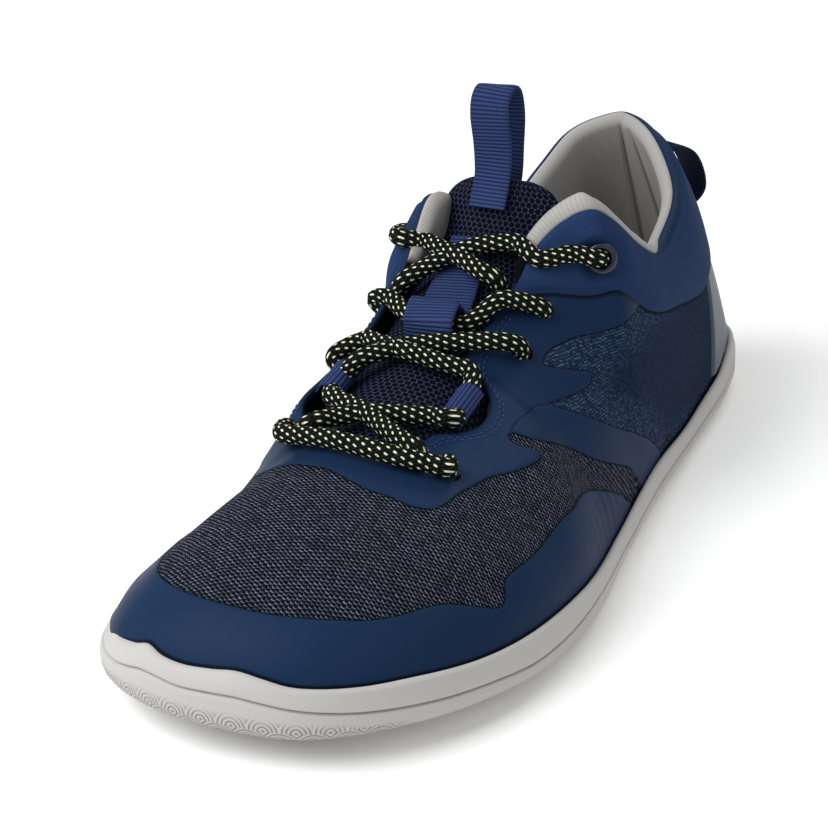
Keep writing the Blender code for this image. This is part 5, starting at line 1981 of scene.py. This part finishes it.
LACE_ENDS = {
    ("lace_bar_front", 0): (
        (Over.UPPER, ((12.9, 0.955, -0.5), (12.9, 0.93, 0.6))),
        (Over.UPPER, ((6.90, 0.82, 0.52), (6.87, 0.793, -0.80))),
    ),
    ("lace_cross_low", 0): (
        (Over.TONGUE, ((0.92, 0.228, 1.60),)),
        (Over.TONGUE, ((2.08, -0.465, 1.07), (2.35, -0.49, 0.98))),
    ),
    ("lace_cross_low", 1): (
        (Over.TONGUE, ((2.35, 0.20, 0.98), (2.12, 0.225, 1.15))),
        (Over.TONGUE, ((1.14, -0.435, 1.25), (1.18, -0.50, 0.60))),
    ),
    ("lace_cross_mid", 0): (
        (Over.TONGUE, ((2.35, 0.20, 0.98), (2.62, 0.195, 1.15))),
        (Over.UPPER, ((14.9, 0.97, 0.55), (14.9, 0.90, -0.6))),
    ),
    ("lace_cross_mid", 1): (
        (Over.TONGUE, ((2.35, -0.49, 0.98), (2.50, -0.465, 1.12))),
        (Over.UPPER, ((4.92, 0.83, 0.52), (4.88, 0.798, -0.80))),
    ),
    ("lace_bar_keeper", 0): (
        (Over.UPPER, ((15.62, 0.90, -0.6), (15.65, 0.96, 0.56))),
        (Over.UPPER, ((4.58, 0.84, 0.55), (4.53, 0.81, -0.80))),
    ),
    ("lace_cross_top", 0): (
        (Over.TONGUE, ((4.14, -0.53, 0.90),)),
        (Over.UPPER, (
            (4.36, 0.93, 0.75), (4.20, 0.83, 0.80), (4.06, 0.765, 0.72), (4.01, 0.745, -0.20),
        )),
    ),
    ("lace_cross_top", 1): (
        (Over.UPPER, (
            (16.55, 0.76, -0.6), (16.48, 0.82, 0.72), (16.34, 0.93, 0.95), (16.18, 1.035, 0.25),
        )),
        (Over.TONGUE, ((4.40, 0.040, 0.90),)),
    ),
}

HOLES = ((6.88, 0.80), (4.89, 0.808), (4.54, 0.82))


@dataclass
class Lace:
    """The round lace, from eyelet to eyelet, with its holes and rings."""

    shop: Workshop
    diameter: float = 0.0050
    step: float = 0.0006
    end_rounding: float = 0.0012
    bore: float = 0.0054
    ring: float = 0.0088
    ring_thickness: float = 0.0012
    ring_sides: int = 14
    seat: float = 0.0012
    hole_margin: float = 0.0002
    hole_dish: Pair = (0.0008, -0.0003)
    eyelet_shade: float = 0.00070
    hole_lift: float = 0.00055

    def spot(self, over: Over, first: float, second: float, lift: float) -> Vector:
        """Return a point of the lace.

        Args:
            over: What it lies over.
            first: The place on the tongue, or the station on the upper.
            second: The share of the ball's half width, or the share of the rib.
            lift: The height, in lace diameters.

        Returns:
            The point.
        """
        if over is Over.UPPER:
            point = LAST.upper(first, min(second, 1.0), lift * self.diameter)
            point.z += max(second - 1.0, 0.0) * BEYOND_EDGE
            return point
        across = second * LAST.ball_width / 2 - LAST.tongue_line(first).x
        return LAST.tongue(first, across, lift * self.diameter)

    def build_strands(self) -> None:
        """Build each bar and crossing, run on to its holes."""
        for node, strands in LACE_STRANDS.items():
            bm = bmesh.new()
            bm.loops.layers.uv.new("Chart")
            for index, rows in enumerate(strands):
                before, after = LACE_ENDS[node, index]
                spans = (before, (Over.TONGUE, rows), after)
                route = Route([self.spot(over, *row) for over, span in spans for row in span])
                count = int(route.length / self.step)
                section = round_section(self.diameter / 2)
                join(bm, sweep(route, 28, count, section, self.end_rounding))
            self.shop.piece(f"{node}_cord", bm, "cord", Slot.LACE, (node,))

    def build_rings(self) -> None:
        """Build the two top eyelets, with painted shade inside them, and the dark rims of painted
        shade in the punched holes.
        """
        for name, eyelet in zip(("lateral", "medial"), EYELETS):
            self.build_ring(name, eyelet)
            self.build_hole(f"eyelet_shade_{name}", eyelet, self.eyelet_shade)
        for index, hole in enumerate(HOLES):
            self.build_hole(f"punched_hole_shade_{index}", hole, self.hole_lift)

    def build_hole(self, name: str, spot: Pair, lift: float) -> None:
        """Sink one disc of painted shade, a shallow dark dish over a spot on the upper's face."""
        bm = bmesh.new()
        radius = self.bore / 2 + self.hole_margin
        bmesh.ops.create_circle(bm, cap_ends=True, radius=radius, segments=40)
        rim, depth = self.hole_dish
        bmesh.ops.inset_region(bm, faces=bm.faces[:], thickness=rim, depth=depth)
        turn = LAST.upper_normal(*spot).to_track_quat("Z", "Y").to_matrix().to_4x4()
        place = Matrix.Translation(LAST.upper(*spot, lift))
        bmesh.ops.transform(bm, matrix=place @ turn, verts=bm.verts)
        self.shop.piece(name, bm, "hole", Slot.UPPER)

    def build_ring(self, name: str, spot: Pair) -> None:
        """Turn one side's eyelet ring on a spot of the upper's face."""
        axis = LAST.upper_normal(*spot)
        centre = LAST.upper(*spot, self.seat)
        turn = axis.to_track_quat("Z", "Y")
        middle, width = (self.ring + self.bore) / 4, (self.ring - self.bore) / 4
        bm = bmesh.new()
        verts = []
        for index in range(self.ring_sides):
            angle = index / self.ring_sides * math.tau
            radius = middle + math.cos(angle) * width
            height = (1 + math.sin(angle)) * self.ring_thickness / 2
            verts.append(bm.verts.new(centre + turn @ Vector((radius, 0, height))))
        edges = [bm.edges.new((a, b)) for a, b in zip(verts, verts[1:] + verts[:1])]
        bmesh.ops.spin(
            bm, geom=verts + edges, cent=centre, axis=axis, angle=math.tau, steps=56,
            use_merge=True,
        )
        bmesh.ops.remove_doubles(bm, verts=bm.verts, dist=0.000002)
        bmesh.ops.recalc_face_normals(bm, faces=bm.faces)
        self.shop.piece(f"eyelet_ring_{name}", bm, "ring", Slot.EYELET, (f"eyelet_{name}",))

    def build(self) -> None:
        """Build the lace and its rings."""
        self.build_strands()
        self.build_rings()


LIGHTS = {
    "key": ((-0.60, -0.75, 1.00), 1.1, 20.0),
    "fill": ((0.95, -0.25, 0.85), 0.7, 1.0),
    "back": ((0.10, 0.9, 1.0), 0.7, 4.0),
}


@dataclass
class Studio:
    """Pale floor, soft lights and the photo's camera."""

    eye: tuple[float, float, float] = (0.25860, -0.47682, 0.27475)
    yaw: float = 30.65
    pitch: float = 23.90
    roll: float = -2.40
    focal: float = 91.52
    sensor: float = 36.0
    aim: tuple[float, float, float] = (0, 0, 0.03)
    floor_size: float = 6.0
    floor_gap: float = 0.0002
    floor_glow: float = 0.10
    sky: float = 0.44

    def build_camera(self) -> None:
        """Set the camera at the photo's angle."""
        yaw, pitch, roll = (math.radians(v) for v in (self.yaw, self.pitch, self.roll))
        data = bpy.data.cameras.new("camera")
        data.lens = self.focal
        data.sensor_width = self.sensor
        data.clip_start = 0.01
        camera = add_object("camera", data)
        aim = Matrix.Rotation(yaw, 4, "Z") @ Matrix.Rotation(math.pi / 2 - pitch, 4, "X")
        camera.matrix_world = Matrix.Translation(self.eye) @ aim @ Matrix.Rotation(roll, 4, "Z")
        bpy.context.scene.camera = camera

    def build_lights(self) -> None:
        """Hang the soft square lights."""
        for name, (place, size, power) in LIGHTS.items():
            data = bpy.data.lights.new(name, "AREA")
            data.size = size
            data.energy = power
            light = add_object(name, data)
            light.location = place
            light.rotation_mode = "QUATERNION"
            away = Vector(place) - Vector(self.aim)
            light.rotation_quaternion = away.to_track_quat("Z", "Y")

    def build_floor(self) -> None:
        """Lay the pale floor, which glows a little."""
        bm = bmesh.new()
        bmesh.ops.create_grid(bm, x_segments=4, y_segments=4, size=self.floor_size)
        mesh = to_mesh("floor", bm)
        material = PlainFinish("Pale floor", (0.93, 0.93, 0.93), 0.9).make()
        shader = material.node_tree.nodes["Principled BSDF"].inputs
        shader["Emission Color"].default_value = (1.0, 1.0, 1.0, 1.0)
        shader["Emission Strength"].default_value = self.floor_glow
        mesh.materials.append(material)
        floor = add_object("floor", mesh)
        floor.location.z = -self.floor_gap

    def build(self) -> None:
        """Build the floor, the world, the lights and the camera."""
        self.build_camera()
        self.build_floor()
        world = bpy.data.worlds.new("studio")
        world.use_nodes = True
        background = world.node_tree.nodes["Background"].inputs
        background["Color"].default_value = (1.0, 1.0, 1.0, 1.0)
        background["Strength"].default_value = self.sky
        bpy.context.scene.world = world
        self.build_lights()
        bpy.context.scene.view_settings.view_transform = "Standard"


def main() -> None:
    """Build the shoe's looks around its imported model."""
    logging.basicConfig(level=logging.INFO, format="%(message)s")
    for obj in list(bpy.data.objects):
        bpy.data.objects.remove(obj, do_unlink=True)
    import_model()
    Studio().build()
    shop = Workshop()
    for part in (Lace(shop), Sole(shop), Upper(shop), Tongue(shop)):
        part.build()
    LOG.info("%d pieces", len(shop.made))


if __name__ == "__main__":
    main()
